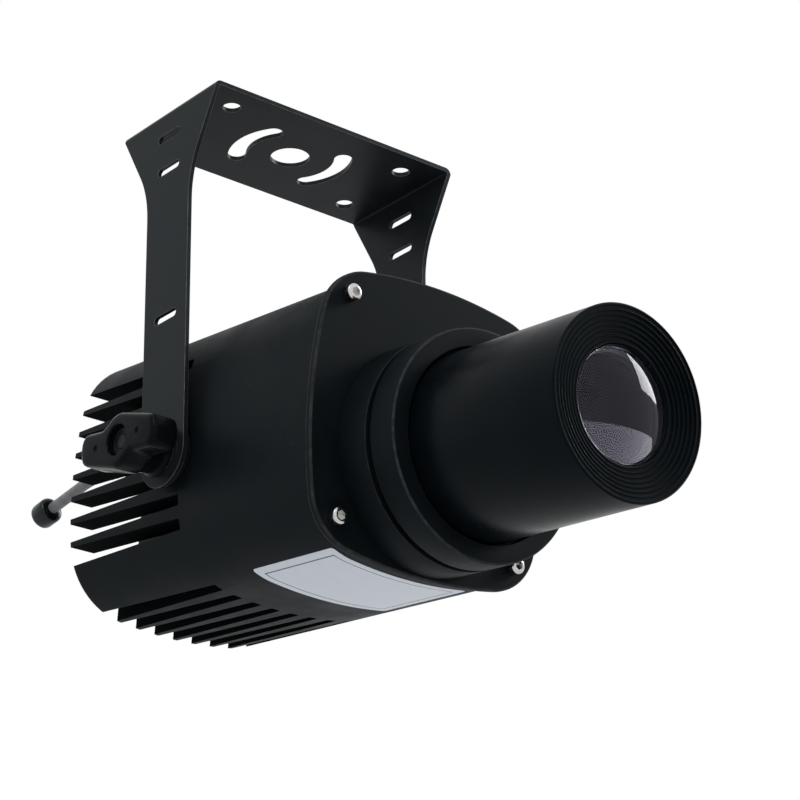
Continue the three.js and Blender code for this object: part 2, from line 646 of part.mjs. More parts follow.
// A countersunk screw flush with the lens mount's floor; grow widens it into the seat it sits in.
function mountScrewBody(x, z, grow) {
  const top = MOUNT_INNER_FLOOR - grow;
  const taper = MOUNT_SCREW_HEAD_RADIUS - MOUNT_SCREW_RADIUS;
  const end = COVER_REAR + grow;
  return turned([
    [0, top], [MOUNT_SCREW_HEAD_RADIUS + grow, top],
    [MOUNT_SCREW_HEAD_RADIUS + grow, MOUNT_INNER_FLOOR + FIT],
    [MOUNT_SCREW_RADIUS + grow, MOUNT_INNER_FLOOR + FIT + taper],
    [MOUNT_SCREW_RADIUS + grow, end], [0, end],
  ], x, z, SMALL_SEGMENTS);
}

function mountScrews() {
  return mountScrewPlaces().map(([x, z], i) => piece(
    `mount_screw_${i + 1}`, mountScrewBody(x, z, 0), 'steel'));
}

function gobo() {
  const rear = MOUNT_INNER_FLOOR + GOBO_POCKET_DEPTH - FIT;
  const front = rear - GOBO_THICKNESS;
  const clipRear = front - FIT;
  const clipFront = clipRear - GOBO_CLIP_THICKNESS;
  const clip = ringY(GOBO_RADIUS, GOBO_RADIUS - GOBO_CLIP_WIDTH, clipFront, clipRear, 0, LENS_Z);
  const halfGap = GOBO_CLIP_OPENING * GOBO_RADIUS / 2;
  const opening = block(-halfGap, halfGap, clipFront - FIT, clipRear + FIT, LENS_Z, LENS_Z + GOBO_RADIUS + FIT);
  return [
    piece('gobo_disc', rodY(GOBO_RADIUS, front, rear, 0, LENS_Z, ROUND_SEGMENTS), 'glass'),
    piece('gobo_clip', clip.subtract(opening), 'steel'),
  ];
}

// The collar screws into the lens mount and guides the barrel.
function collar() {
  const guide = BARREL_RADIUS + FIT;
  const mouth = BARREL_RADIUS + BARREL_MOUTH_CLEARANCE;
  const neck = MOUNT_THREAD_RADIUS - FIT;
  const guideFront = COLLAR_NECK_REAR - COLLAR_GUIDE_LENGTH;
  const body = turned([
    [guide, COLLAR_NECK_REAR], [neck, COLLAR_NECK_REAR],
    [neck, COLLAR_REAR], [MOUNT_RADIUS, COLLAR_REAR],
    [MOUNT_RADIUS, COLLAR_FRONT + COLLAR_EDGE_CHAMFER], [MOUNT_RADIUS - COLLAR_EDGE_CHAMFER, COLLAR_FRONT],
    [mouth, COLLAR_FRONT], [mouth, guideFront], [guide, guideFront],
  ], 0, LENS_Z);
  return piece('lens_collar', body, 'housing');
}

// The stepped cone of the barrel's mouth, from the lens opening out to the rim.
function ribSteps() {
  const rimRadius = BARREL_RADIUS - BARREL_RIM;
  const width = (rimRadius - LENS_OPENING_RADIUS) / RIB_COUNT;
  const drop = RIB_CONE_DEPTH / RIB_COUNT;
  const steps = [];
  for (let i = 0; i < RIB_COUNT; i += 1) {
    const y = RIB_CONE_DEPTH - BARREL_FRONT - i * drop;
    const radius = LENS_OPENING_RADIUS + i * width;
    steps.push([radius, y], [radius + width, y]);
  }
  return [...steps, [rimRadius, -BARREL_FRONT]];
}

function lensBarrel() {
  const bore = BARREL_RADIUS - BARREL_WALL;
  const cell = FRONT_LENS_RADIUS + FIT;
  const frontLip = cell - CELL_LEDGE;
  const rearLip = bore - CELL_LEDGE - CELL_LEDGE / 2;
  const opening = RIB_CONE_DEPTH - BARREL_FRONT;
  const body = turned([
    [bore, BARREL_REAR], [BARREL_RADIUS, BARREL_REAR],
    [BARREL_RADIUS, COLLAR_EDGE_CHAMFER - BARREL_FRONT],
    [BARREL_RADIUS - COLLAR_EDGE_CHAMFER, -BARREL_FRONT],
    ...ribSteps().reverse(),
    [cell, opening], [cell, FRONT_SEAT], [frontLip, FRONT_SEAT],
    [frontLip, FRONT_SEAT + CELL_LEDGE], [bore, FRONT_SEAT + CELL_LEDGE],
    [bore, REAR_SEAT - CELL_LEDGE], [rearLip, REAR_SEAT - CELL_LEDGE],
    [rearLip, REAR_SEAT], [bore, REAR_SEAT],
  ], 0, LENS_Z);
  return piece('lens_barrel', body, 'barrel');
}

// One half of a lens profile: [radius, bulge] pairs from the edge to the middle.
function lensCurve(radius, bulge) {
  return Array.from({ length: LENS_RINGS + 1 }, (unused, i) => {
    const share = 1 - i / LENS_RINGS;
    return [radius * share, bulge * (1 - share * share)];
  });
}

// A lens with a straight edge between y0 and y1, a flat rim and a bulge on each side.
function lens(name, radius, y0, y1, frontBulge, rearBulge, rim = LENS_RIM) {
  const clear = radius - rim;
  const front = lensCurve(clear, frontBulge).map(([r, b]) => [r, y0 - b]).reverse();
  const rear = lensCurve(clear, rearBulge).map(([r, b]) => [r, y1 + b]);
  const rearFace = rearBulge > 0 ? [[radius, y1], ...rear] : [[radius, y1], [0, y1]];
  const profile = [...front, [radius, y0], ...rearFace];
  return piece(name, turned(profile, 0, LENS_Z, MEDIUM_SEGMENTS), 'glass');
}

function barrelOptics() {
  const bore = BARREL_RADIUS - BARREL_WALL - FIT;
  const lensRear = FRONT_SEAT - FIT;
  const lensFront = lensRear - FRONT_LENS_EDGE;
  const ringRear = lensFront - FIT;
  const rearFront = REAR_SEAT + FIT;
  const rearEnd = rearFront + REAR_LENS_EDGE;
  const retainerStart = rearEnd + FIT;
  return [
    lens('front_lens', FRONT_LENS_RADIUS, lensFront, lensRear, FRONT_LENS_BULGE, 0, FRONT_LENS_RIM),
    piece('front_retainer', ringY(
      FRONT_LENS_RADIUS, FRONT_LENS_RADIUS - FRONT_RETAINER_WIDTH,
      ringRear - FRONT_RETAINER_LENGTH, ringRear, 0, LENS_Z), 'barrel'),
    lens('rear_lens', bore, rearFront, rearEnd, REAR_LENS_BULGE, REAR_LENS_BULGE),
    piece('rear_retainer', ringY(
      bore, bore - REAR_RETAINER_WIDTH,
      retainerStart, retainerStart + REAR_RETAINER_LENGTH, 0, LENS_Z), 'barrel'),
  ];
}

// The plate across the housing that carries the LED, with fins towards the fan.
function heatSink() {
  const face = -SINK_FACE;
  const outline = bulgedSquare(
    CAVITY_HALF_WIDTH - FIT, CAVITY_SIDE_RADIUS - FIT, CAVITY_CORNER_RADIUS - FIT);
  const plate = alongY(outline, face, face + SINK_PLATE);
  const fins = Array.from({ length: SINK_FIN_COUNT }, (unused, i) => {
    const x = (i - (SINK_FIN_COUNT - 1) / 2) * SINK_FIN_PITCH;
    const half = SINK_FIN_THICKNESS / 2;
    const top = SINK_FIN_HEIGHT / 2 + LENS_Z;
    return block(
      x - half, x + half, face + SINK_PLATE / 2, face + SINK_PLATE + SINK_FIN_DEPTH,
      top - SINK_FIN_HEIGHT, top);
  });
  return piece('heat_sink', joined([plate, ...fins]), 'aluminium');
}

function ledModule() {
  const rear = -SINK_FACE - FIT;
  const half = LED_BOARD / 2;
  const front = rear - LED_BOARD_THICKNESS;
  const board = block(-half, half, front, rear, LENS_Z - half, LENS_Z + half);
  const dome = turned([
    [0, front + LED_BOARD_THICKNESS / 2], [LED_DOME_RADIUS, front + LED_BOARD_THICKNESS / 2],
    [LED_DOME_RADIUS, front - LED_DOME_HEIGHT / 2], [LED_DOME_RADIUS / 2, front - LED_DOME_HEIGHT],
    [0, front - LED_DOME_HEIGHT],
  ], 0, LENS_Z, SMALL_SEGMENTS);
  return piece('led_module', board.add(dome), 'led');
}

// Places of the two screws in the condenser's flange.
function condenserScrewPlaces() {
  return roundPlaces(2, CONDENSER_SCREW_CIRCLE).map(([x, z]) => [x, z + LENS_Z]);
}

function condenser() {
  const rear = -SINK_FACE - FIT;
  const flangeFront = rear - CONDENSER_FLANGE;
  const front = rear - CONDENSER_LENGTH;
  const ledge = rear - CONDENSER_LEDGE;
  const bore = CONDENSER_LENS_RADIUS + FIT;
  const lightBore = bore - 2 * FIT - CONDENSER_LENS_EDGE / 2;
  const tube = turned([
    [lightBore, rear], [CONDENSER_FLANGE_RADIUS, rear],
    [CONDENSER_FLANGE_RADIUS, flangeFront], [CONDENSER_RADIUS, flangeFront],
    [CONDENSER_RADIUS, front], [bore, front], [bore, ledge], [lightBore, ledge],
  ], 0, LENS_Z);
  const screwHoles = condenserScrewPlaces().map(([x, z]) => rodY(
    MOUNT_SCREW_RADIUS + FIT, flangeFront - FIT, rear + FIT, x, z));
  const rearLens = ledge - FIT;
  const spacerRear = rearLens - CONDENSER_LENS_EDGE - FIT;
  const frontLens = spacerRear - CONDENSER_SPACER_LENGTH - FIT;
  const ringRear = frontLens - CONDENSER_LENS_EDGE - FIT;
  const wall = CONDENSER_LENS_EDGE;
  return [
    piece('condenser_holder', without(tube, screwHoles), 'aluminium'),
    lens('condenser_lens_rear', CONDENSER_LENS_RADIUS, rearLens - CONDENSER_LENS_EDGE, rearLens, CONDENSER_BULGE, 0),
    piece('condenser_spacer', ringY(
      CONDENSER_LENS_RADIUS, CONDENSER_LENS_RADIUS - wall,
      spacerRear - CONDENSER_SPACER_LENGTH, spacerRear, 0, LENS_Z, MEDIUM_SEGMENTS), 'aluminium'),
    lens('condenser_lens_front', CONDENSER_LENS_RADIUS, frontLens - CONDENSER_LENS_EDGE, frontLens, CONDENSER_BULGE, 0),
    piece('condenser_ring', ringY(
      CONDENSER_LENS_RADIUS, CONDENSER_LENS_RADIUS - wall,
      ringRear - CONDENSER_RING_LENGTH, ringRear, 0, LENS_Z, MEDIUM_SEGMENTS), 'aluminium'),
  ];
}

// Small pan-head screws that hold the condenser to the heat sink.
function condenserScrews() {
  const seat = -SINK_FACE - FIT - CONDENSER_FLANGE - FIT;
  return condenserScrewPlaces().map(([x, z], i) => piece(
    `condenser_screw_${i + 1}`, turned([
      [0, seat - MOUNT_SCREW_RADIUS], [MOUNT_SCREW_HEAD_RADIUS, seat - MOUNT_SCREW_RADIUS],
      [MOUNT_SCREW_HEAD_RADIUS, seat], [MOUNT_SCREW_RADIUS, seat],
      [MOUNT_SCREW_RADIUS, -SINK_FACE - FIT], [0, -SINK_FACE - FIT],
    ], x, z, SMALL_SEGMENTS), 'steel'));
}

// The LED driver, a metal box that hangs from the roof of the housing.
function driver() {
  const halfWidth = DRIVER_WIDTH / 2;
  const back = CAVITY_SIDE_RADIUS - CAVITY_HALF_WIDTH;
  const top = Math.sqrt(CAVITY_SIDE_RADIUS ** 2 - halfWidth ** 2) - back - FIT;
  const outline = rectangle(-halfWidth, halfWidth, top - DRIVER_HEIGHT, top);
  const box = softPlate(outline, DRIVER_REAR - DRIVER_LENGTH, DRIVER_REAR, DRIVER_EDGE_ROUND);
  return piece('led_driver', box, 'driver');
}

// The square fan frame with its motor base and struts on the side away from the opening.
function fanFrame() {
  const front = FAN_REAR - FAN_DEPTH;
  const half = FAN_SIZE / 2;
  const inner = half - FAN_CORNER_RADIUS;
  const outline = [[1, 1], [-1, 1], [-1, -1], [1, -1]].flatMap(([x, z], i) => arc(
    x * inner, z * inner, FAN_CORNER_RADIUS, (i * Math.PI) / 2, ((i + 1) * Math.PI) / 2, CORNER_STEPS / 2));
  const cutters = [
    rodY(FAN_BORE_RADIUS, front - FIT, FAN_REAR + FIT, 0, 0, MEDIUM_SEGMENTS),
    ...squarePlaces(FAN_SCREW_SPACING).map(([x, z]) => rodY(
      SCREW_SHANK_RADIUS + FIT, front - FIT, FAN_REAR + FIT, x, z)),
  ];
  const baseRear = front + FAN_BASE_THICKNESS;
  const base = rodY(FAN_HUB_RADIUS, front, baseRear, 0, 0, MEDIUM_SEGMENTS);
  const strut = block(
    -FAN_STRUT_WIDTH / 2, FAN_STRUT_WIDTH / 2, front, baseRear,
    FAN_HUB_RADIUS / 2, FAN_BORE_RADIUS + FAN_CORNER_RADIUS / 4);
  const struts = Array.from({ length: FAN_STRUT_COUNT }, (unused, i) => strut.rotate(
    [0, (360 * (i + 0.5)) / FAN_STRUT_COUNT, 0]));
  const frame = without(alongY(outline, front, FAN_REAR), cutters);
  return piece('fan_frame', joined([frame, base, ...struts]), 'blackPlastic');
}

// The fan rotor: a cup-shaped hub and pitched blades.
function fanRotor() {
  const front = FAN_REAR - FAN_DEPTH + FAN_BASE_THICKNESS + FIT;
  const rear = FAN_REAR - FAN_BASE_THICKNESS;
  const hub = rodY(FAN_HUB_RADIUS, front, rear, 0, 0, MEDIUM_SEGMENTS);
  const middle = (front + rear) / 2;
  const halfChord = FAN_BLADE_CHORD / 2;
  const blade = block(
    -FAN_BLADE_THICKNESS / 2, FAN_BLADE_THICKNESS / 2, -halfChord, halfChord,
    FAN_BLADE_ROOT, FAN_BLADE_TIP);
  const pitched = blade.rotate([0, 0, THREE.MathUtils.radToDeg(FAN_BLADE_PITCH)]).translate([0, middle, 0]);
  const blades = Array.from({ length: FAN_BLADE_COUNT }, (unused, i) => pitched.rotate(
    [0, (360 * i) / FAN_BLADE_COUNT, 0]));
  const sweep = rodY(FAN_BLADE_TIP, front, rear, 0, 0, MEDIUM_SEGMENTS);
  return piece('fan_rotor', hub.add(joined(blades)).intersect(sweep), 'blackPlastic');
}

// Posts from the heat sink to the fan, and the screws through the fan into them.
function fanPosts() {
  const start = SINK_PLATE - SINK_FACE + FIT;
  const end = FAN_REAR - FAN_DEPTH - FIT;
  return squarePlaces(FAN_SCREW_SPACING).map(([x, z], i) => {
    const hole = rodY(SCREW_SHANK_RADIUS + FIT, end - FAN_SCREW_GRIP - FIT, end + FIT, x, z);
    const post = rodY(POST_RADIUS + FIT, start, end, x, z);
    return piece(`fan_post_${i + 1}`, post.subtract(hole), 'steel');
  });
}

function fanScrews() {
  const end = FAN_REAR - FAN_DEPTH - FIT - FAN_SCREW_GRIP;
  return squarePlaces(FAN_SCREW_SPACING).map(([x, z], i) => {
    const seat = FAN_REAR + FIT + (i === 0 ? BRACKET_SHEET + FIT : 0);
    const top = seat + SCREW_HEAD_HEIGHT;
    return piece(`fan_screw_${i + 1}`, turned([
      [0, end], [SCREW_SHANK_RADIUS, end], [SCREW_SHANK_RADIUS, seat],
      [SCREW_HEAD_RADIUS, seat], [SCREW_HEAD_RADIUS, top], [0, top],
    ], x, z, SMALL_SEGMENTS), 'steel');
  });
}

// The little bracket behind the fan that holds the strain relief.
function cableBracket() {
  const front = FAN_REAR + FIT;
  const rear = front + BRACKET_SHEET;
  const [[screwX, screwZ]] = squarePlaces(FAN_SCREW_SPACING);
  const sheet = block(
    LEAD_X - BRACKET_LEAD_MARGIN, screwX + BRACKET_SCREW_MARGIN, front, rear,
    LEAD_Z - BRACKET_FOOT, screwZ + BRACKET_TOP_MARGIN);
  const cavity = bulgedSquare(
    CAVITY_HALF_WIDTH - FIT, CAVITY_SIDE_RADIUS - FIT, CAVITY_CORNER_RADIUS - FIT);
  const cutters = [
    rodY(LEAD_RADIUS + FIT, front - FIT, rear + FIT, LEAD_X, LEAD_Z),
    rodY(SCREW_SHANK_RADIUS + FIT, front - FIT, rear + FIT, screwX, screwZ),
  ];
  const trimmed = sheet.intersect(alongY(cavity, front - FIT, rear + FIT));
  return piece('cable_bracket', without(trimmed, cutters), 'housing');
}

// The tapered sleeve that the lead comes out of.
function strainRelief() {
  const front = FAN_REAR + FIT + BRACKET_SHEET + FIT;
  const end = front + RELIEF_LENGTH;
  const bore = LEAD_RADIUS + FIT;
  return piece('strain_relief', turned([
    [bore, front], [RELIEF_FLANGE_RADIUS, front], [RELIEF_FLANGE_RADIUS, front + RELIEF_FLANGE],
    [(RELIEF_FLANGE_RADIUS + RELIEF_TIP_RADIUS) / 2, front + 2 * RELIEF_FLANGE],
    [RELIEF_TIP_RADIUS, end], [bore, end],
  ], LEAD_X, LEAD_Z, MEDIUM_SEGMENTS), 'blackPlastic');
}

// A smooth line through the points of a route.
function routeCurve(route) {
  return new THREE.CatmullRomCurve3(route.map((point) => new THREE.Vector3(...point)));
}

// A length of lead along a route.
function leadPiece(name, route, steps) {
  const section = new THREE.Shape(circle(0, 0, LEAD_RADIUS, LEAD_SIDES));
  const geometry = new THREE.ExtrudeGeometry(section, { steps, extrudePath: routeCurve(route) });
  return piece(name, solid(geometry), 'lead');
}

// The lead inside the head, and its free length behind the strain relief.
function powerLead() {
  return [
    leadPiece('lead_inside', INNER_LEAD_ROUTE, INNER_LEAD_STEPS),
    leadPiece('power_lead', LEAD_ROUTE, LEAD_STEPS),
  ];
}

// The round moulded end of the lead, with its socket in the far face.
function leadEnd() {
  const curve = routeCurve(LEAD_ROUTE);
  const along = curve.getTangentAt(1);
  const start = curve.getPointAt(1).addScaledVector(along, FIT);
  const far = LEAD_END_LENGTH;
  const soft = LEAD_END_ROUND;
  const body = turned([
    [0, 0], [LEAD_END_RADIUS - soft, 0], [LEAD_END_RADIUS - soft / 4, soft / 4],
    [LEAD_END_RADIUS, soft], [LEAD_END_RADIUS, far - soft],
    [LEAD_END_RADIUS - soft / 4, far - soft / 4], [LEAD_END_RADIUS - soft, far],
    [LEAD_END_SOCKET_RADIUS, far], [LEAD_END_SOCKET_RADIUS, far - LEAD_END_SOCKET_DEPTH],
    [0, far - LEAD_END_SOCKET_DEPTH],
  ], 0, 0, MEDIUM_SEGMENTS);
  const mesh = piece('lead_end', body, 'blackPlastic');
  mesh.quaternion.setFromUnitVectors(new THREE.Vector3(0, 1, 0), along);
  mesh.position.copy(start);
  return mesh;
}

// The bare rating label under the front of the housing, bent to its bulged face.
function ratingLabel() {
  const lift = (gap) => bulgedSquare(
    HOUSING_HALF_WIDTH + gap, HOUSING_SIDE_RADIUS + gap, HOUSING_CORNER_RADIUS + gap);
  const y0 = HOUSING_FRONT + LABEL_INSET;
  const y1 = y0 + LABEL_LENGTH;
  const skin = alongY(lift(FIT + LABEL_THICKNESS), y0, y1).subtract(alongY(lift(FIT), y0 - FIT, y1 + FIT));
  const [x0, x1] = [LABEL_X - LABEL_WIDTH / 2, LABEL_X + LABEL_WIDTH / 2];
  const area = block(x0, x1, y0 - FIT, y1 + FIT, -HOUSING_HALF_WIDTH - 2 * FIT - LABEL_THICKNESS, 0);
  return piece('rating_label', skin.intersect(area), 'label');
}

// The fixed pieces of one tilt pivot: threaded insert and friction washer.
function pivotPieces(side, name) {
  const reach = (a, b) => [Math.min(side * a, side * b), Math.max(side * a, side * b)];
  const outer = BOSS_X - FIT;
  const insert = rodX(INSERT_RADIUS, ...reach(outer - INSERT_LENGTH, outer), SMALL_SEGMENTS)
    .subtract(rodX(STUD_RADIUS + FIT, -2 * BOSS_X, 2 * BOSS_X, SMALL_SEGMENTS));
  const washer = rodX(FRICTION_WASHER_RADIUS, ...reach(BOSS_X + FIT, ARM_INNER_X - FIT), MEDIUM_SEGMENTS)
    .subtract(rodX(STUD_RADIUS + FIT, -2 * BOSS_X, 2 * BOSS_X, SMALL_SEGMENTS));
  return [
    piece(`pivot_insert_${name}`, insert, 'steel'),
    piece(`friction_washer_${name}`, washer, 'fibre'),
  ];
}

// The knob's S-shaped outline, in Y and Z round the tilt axis.
function knobOutline() {
  const half = KNOB_OUTLINE_SHARES.map(([y, z]) => new THREE.Vector2(y, z).multiplyScalar(KNOB_WING_REACH));
  const other = half.map((point) => point.clone().negate());
  return [...half, ...other];
}

// A knob with its washer and screw, built on the +X side of the head.
function knobPieces(side, name) {
  const washerIn = ARM_OUTER_X + FIT;
  const hubIn = washerIn + KNOB_WASHER_THICKNESS + FIT;
  const wingIn = hubIn + KNOB_HUB_LENGTH;
  const face = wingIn + KNOB_WING_DEPTH;
  const recessFloor = face - KNOB_RECESS_DEPTH;
  const headIn = recessFloor + FIT;
  const wings = new THREE.ExtrudeGeometry(new THREE.Shape(knobOutline()), {
    depth: KNOB_WING_DEPTH - 2 * KNOB_EDGE_ROUND, bevelEnabled: true, bevelSegments: 2,
    bevelThickness: KNOB_EDGE_ROUND, bevelSize: KNOB_EDGE_ROUND, bevelOffset: -KNOB_EDGE_ROUND,
  }).applyMatrix4(DEPTH_ALONG_X);
  wings.rotateX(-side * KNOB_WING_ANGLE).translate(wingIn + KNOB_EDGE_ROUND, 0, PIVOT_Z);
  const hub = turned([
    [0, hubIn], [KNOB_HUB_RADIUS - KNOB_HUB_FLARE, hubIn],
    [KNOB_HUB_RADIUS, wingIn + KNOB_EDGE_ROUND], [0, wingIn + KNOB_EDGE_ROUND],
  ], 0, 0, MEDIUM_SEGMENTS).rotate([0, 0, -90]).translate([0, 0, PIVOT_Z]);
  const dimples = [-1, 1].map((end) => {
    const y = end * KNOB_DIMPLE_REACH * Math.cos(KNOB_WING_ANGLE);
    const z = PIVOT_Z - side * end * KNOB_DIMPLE_REACH * Math.sin(KNOB_WING_ANGLE);
    return alongX(circle(y, z, KNOB_DIMPLE_RADIUS, HEXAGON), face - KNOB_EDGE_ROUND, face + FIT);
  });
  const body = without(solid(wings).add(hub), [
    rodX(KNOB_RECESS_RADIUS, recessFloor, 2 * face, MEDIUM_SEGMENTS),
    rodX(STUD_RADIUS + FIT, 0, 2 * face, SMALL_SEGMENTS),
    ...dimples,
  ]);
  const washer = rodX(KNOB_WASHER_RADIUS, washerIn, washerIn + KNOB_WASHER_THICKNESS, MEDIUM_SEGMENTS)
    .subtract(rodX(STUD_RADIUS + FIT, 0, 2 * face, SMALL_SEGMENTS));
  const bolt = rodX(STUD_RADIUS, BOSS_X - INSERT_LENGTH, headIn + STUD_HEAD_HEIGHT / 2, SMALL_SEGMENTS)
    .add(rodX(STUD_HEAD_RADIUS, headIn, headIn + STUD_HEAD_HEIGHT, HEXAGON));
  const facing = (half) => (side > 0 ? half : half.mirror([1, 0, 0]));
  return [
    piece(`knob_${name}`, facing(body), 'knob'),
    piece(`knob_washer_${name}`, facing(washer), 'steel'),
    piece(`knob_screw_${name}`, facing(bolt), 'steel'),
  ];
}

// The lens barrel and everything that slides with it.
function barrelGroup() {
  const group = new THREE.Group();
  group.add(lensBarrel(), ...barrelOptics());
  return group;
}

function headGroup() {
  const group = new THREE.Group();
  group.add(
    housing(), frontCover(), ...coverScrews(), lensMount(), ...mountScrews(), ...gobo(), collar(),
    barrelGroup(), heatSink(), ledModule(), ...condenser(), ...condenserScrews(), driver(),
    fanFrame(), fanRotor(), ...fanPosts(), ...fanScrews(), cableBracket(), strainRelief(),
    ...powerLead(), leadEnd(), ratingLabel(),
    ...pivotPieces(-1, 'left'), ...pivotPieces(1, 'right'),
    ...knobPieces(-1, 'left'), ...knobPieces(1, 'right'),
  );
  group.position.z = TILT_AXIS_BELOW_MIDDLE;
  return group;
}

function projector() {
  const tilt = new THREE.Group();
  tilt.add(headGroup());
  tilt.rotation.x = HEAD_TILT;
  tilt.position.z = -TILT_AXIS_DROP;
  const group = new THREE.Group();
  group.add(yoke(), tilt);
  return group;
}

export default projector();
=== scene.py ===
"""Finished surfaces, materials and studio for a gobo projector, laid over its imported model."""
import math
from collections import namedtuple

import bmesh
import bpy
from bpy.props import FloatProperty, FloatVectorProperty, PointerProperty
from mathutils import Matrix, Vector


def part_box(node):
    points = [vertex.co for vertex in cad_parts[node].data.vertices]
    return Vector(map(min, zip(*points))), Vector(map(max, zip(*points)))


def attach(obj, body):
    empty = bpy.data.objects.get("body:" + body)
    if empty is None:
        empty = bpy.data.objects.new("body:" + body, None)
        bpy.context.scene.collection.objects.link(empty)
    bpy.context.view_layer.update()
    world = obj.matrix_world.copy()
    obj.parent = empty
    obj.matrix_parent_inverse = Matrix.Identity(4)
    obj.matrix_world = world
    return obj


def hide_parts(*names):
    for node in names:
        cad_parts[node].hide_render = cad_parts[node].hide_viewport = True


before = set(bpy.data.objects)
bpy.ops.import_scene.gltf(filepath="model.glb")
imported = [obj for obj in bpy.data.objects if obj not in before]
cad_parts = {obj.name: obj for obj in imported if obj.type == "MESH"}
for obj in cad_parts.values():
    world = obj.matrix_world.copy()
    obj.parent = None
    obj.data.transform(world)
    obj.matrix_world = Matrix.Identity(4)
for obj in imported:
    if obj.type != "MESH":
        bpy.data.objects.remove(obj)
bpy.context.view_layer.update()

bl_info = {
    "name": "Gobo Projector Surfaces",
    "version": (1, 0, 0),
    "blender": (4, 5, 0),
    "location": "View3D > Sidebar > Projector",
    "description": "Builds the finished surfaces, materials and studio of a gobo projector",
    "category": "Object",
}

# Clearance between two pieces that touch
FIT = 0.0003

# Yoke
ARM_HALF_WIDTH = 0.015
ARM_FLARE_RADIUS = 0.047
ARM_FLARE_ANGLE = 0.51
ARM_CORNER_DROP = 0.003
HANGING_HOLE_RADIUS = 0.00875
CORNER_HOLE_RADIUS = 0.004
CORNER_HOLE_X = 0.0474
CORNER_HOLE_Y = 0.0202
ARC_SLOT_RADIUS = 0.0238
ARC_SLOT_WIDTH = 0.008
ARC_SLOT_HALF_ANGLE = 0.61
ARM_SLOT_LENGTH = 0.0155
ARM_SLOT_HEIGHT = 0.0036
ARM_SLOT_DROPS = (0.0132, 0.0291, 0.0992)

# Housing
TILT_AXIS_BELOW_MIDDLE = 0.0056
CAVITY_HALF_WIDTH = 0.0495
CAVITY_SIDE_RADIUS = 0.130
CAVITY_CORNER_RADIUS = 0.014
SLOT_COUNT = 8
SLOT_PITCH = 0.0099
SLOT_REAR_WIDTH = 0.0077
SLOT_END_WIDTH = 0.0045
SLOT_LENGTH = 0.0795
PIVOT_SLOT_LENGTH = 0.062
SLOT_INNER_X = 0.0395
SLOT_END_ROUND = 0.0007
PIVOT_BOSS_RADIUS = 0.015
PIVOT_BOSS_RISE = 0.0004
INSERT_RADIUS = 0.007
INSERT_LENGTH = 0.009
STUD_RADIUS = 0.004
CASTING_ROUND = 0.00035

# Front cover and screws
COVER_THICKNESS = 0.0035
COVER_OVERHANG = 0.0012
COVER_CORNER_RADIUS = 0.024
COVER_EDGE_ROUND = 0.0009
COVER_SCREW_SPACING = 0.0918
COVER_SCREW_LENGTH = 0.014
SCREW_SHANK_RADIUS = 0.002
SCREW_HEAD_RADIUS = 0.00345
SCREW_HEAD_HEIGHT = 0.0038
SCREW_CROWN = 0.0006
SCREW_SOCKET_RADIUS = 0.002
SCREW_SOCKET_DEPTH = 0.0022
SCREW_EDGE_ROUND = 0.0005

# Lens mount and collar, on an axis below the middle of the housing
LENS_AXIS_BELOW_MIDDLE = 0.0127
MOUNT_LENGTH = 0.0166
MOUNT_FLOOR = 0.005
MOUNT_THREAD_RADIUS = 0.044
MOUNT_GROOVE = 0.0032
LIGHT_HOLE_RADIUS = 0.015
GOBO_RADIUS = 0.0188
GOBO_POCKET_DEPTH = 0.003
COLLAR_LENGTH = 0.0136
COLLAR_NECK_LENGTH = 0.014
COLLAR_GUIDE_LENGTH = 0.0225
COLLAR_EDGE_CHAMFER = 0.0006
TURNED_EDGE_ROUND = 0.00018

# Barrel and lenses
BARREL_WALL = 0.0047
BARREL_MOUTH_CLEARANCE = 0.0015
BARREL_RIM = 0.0012
RIB_COUNT = 7
RIB_CONE_DEPTH = 0.0034
RIB_LIP = 0.00035
LENS_OPENING_RADIUS = 0.0238
CELL_LEDGE = 0.003
REAR_CELL_SHARE = 0.43
FRONT_LENS_RADIUS = 0.023
FRONT_LENS_EDGE = 0.005
FRONT_LENS_BULGE = 0.0045
FRONT_LENS_RIM = 0.0008
FRONT_LENS_SHOULDER = 0.0008
REAR_LENS_EDGE = 0.003
REAR_LENS_BULGE = 0.004
LENS_RIM = 0.0034
FRONT_RETAINER_LENGTH = 0.0015
FRONT_RETAINER_WIDTH = 0.0006
REAR_RETAINER_LENGTH = 0.003
REAR_RETAINER_WIDTH = 0.0032

# Light source
LED_DOME_RADIUS = 0.007

# Knobs
KNOB_WASHER_THICKNESS = 0.0012
KNOB_HUB_RADIUS = 0.011
KNOB_HUB_FLARE = 0.0012
KNOB_HUB_LENGTH = 0.008
KNOB_WING_DEPTH = 0.013
KNOB_WING_REACH = 0.0265
KNOB_WING_ANGLE = -0.06
KNOB_EDGE_ROUND = 0.0024
KNOB_CORNER_ROUND = 0.003
KNOB_RECESS_RADIUS = 0.0065
KNOB_RECESS_DEPTH = 0.008
KNOB_RECESS_ROUND = 0.0005
KNOB_DIMPLE_RADIUS = 0.0018
KNOB_DIMPLE_DEPTH = 0.0009
KNOB_DIMPLE_REACH = 0.0147
BOLT_CAP_RADIUS = 0.0061
BOLT_CAP_HEIGHT = 0.005
BOLT_CAP_STEPS = 3
KNOB_OUTLINE_SHARES = (
    (1, 0.02), (0.985, 0.18), (0.93, 0.28), (0.85, 0.32), (0.4, 0.27), (0.27, 0.34),
    (0.14, 0.42), (-0.02, 0.45), (-0.18, 0.41), (-0.45, 0.33), (-0.86, 0.21), (-0.95, 0.16),
)

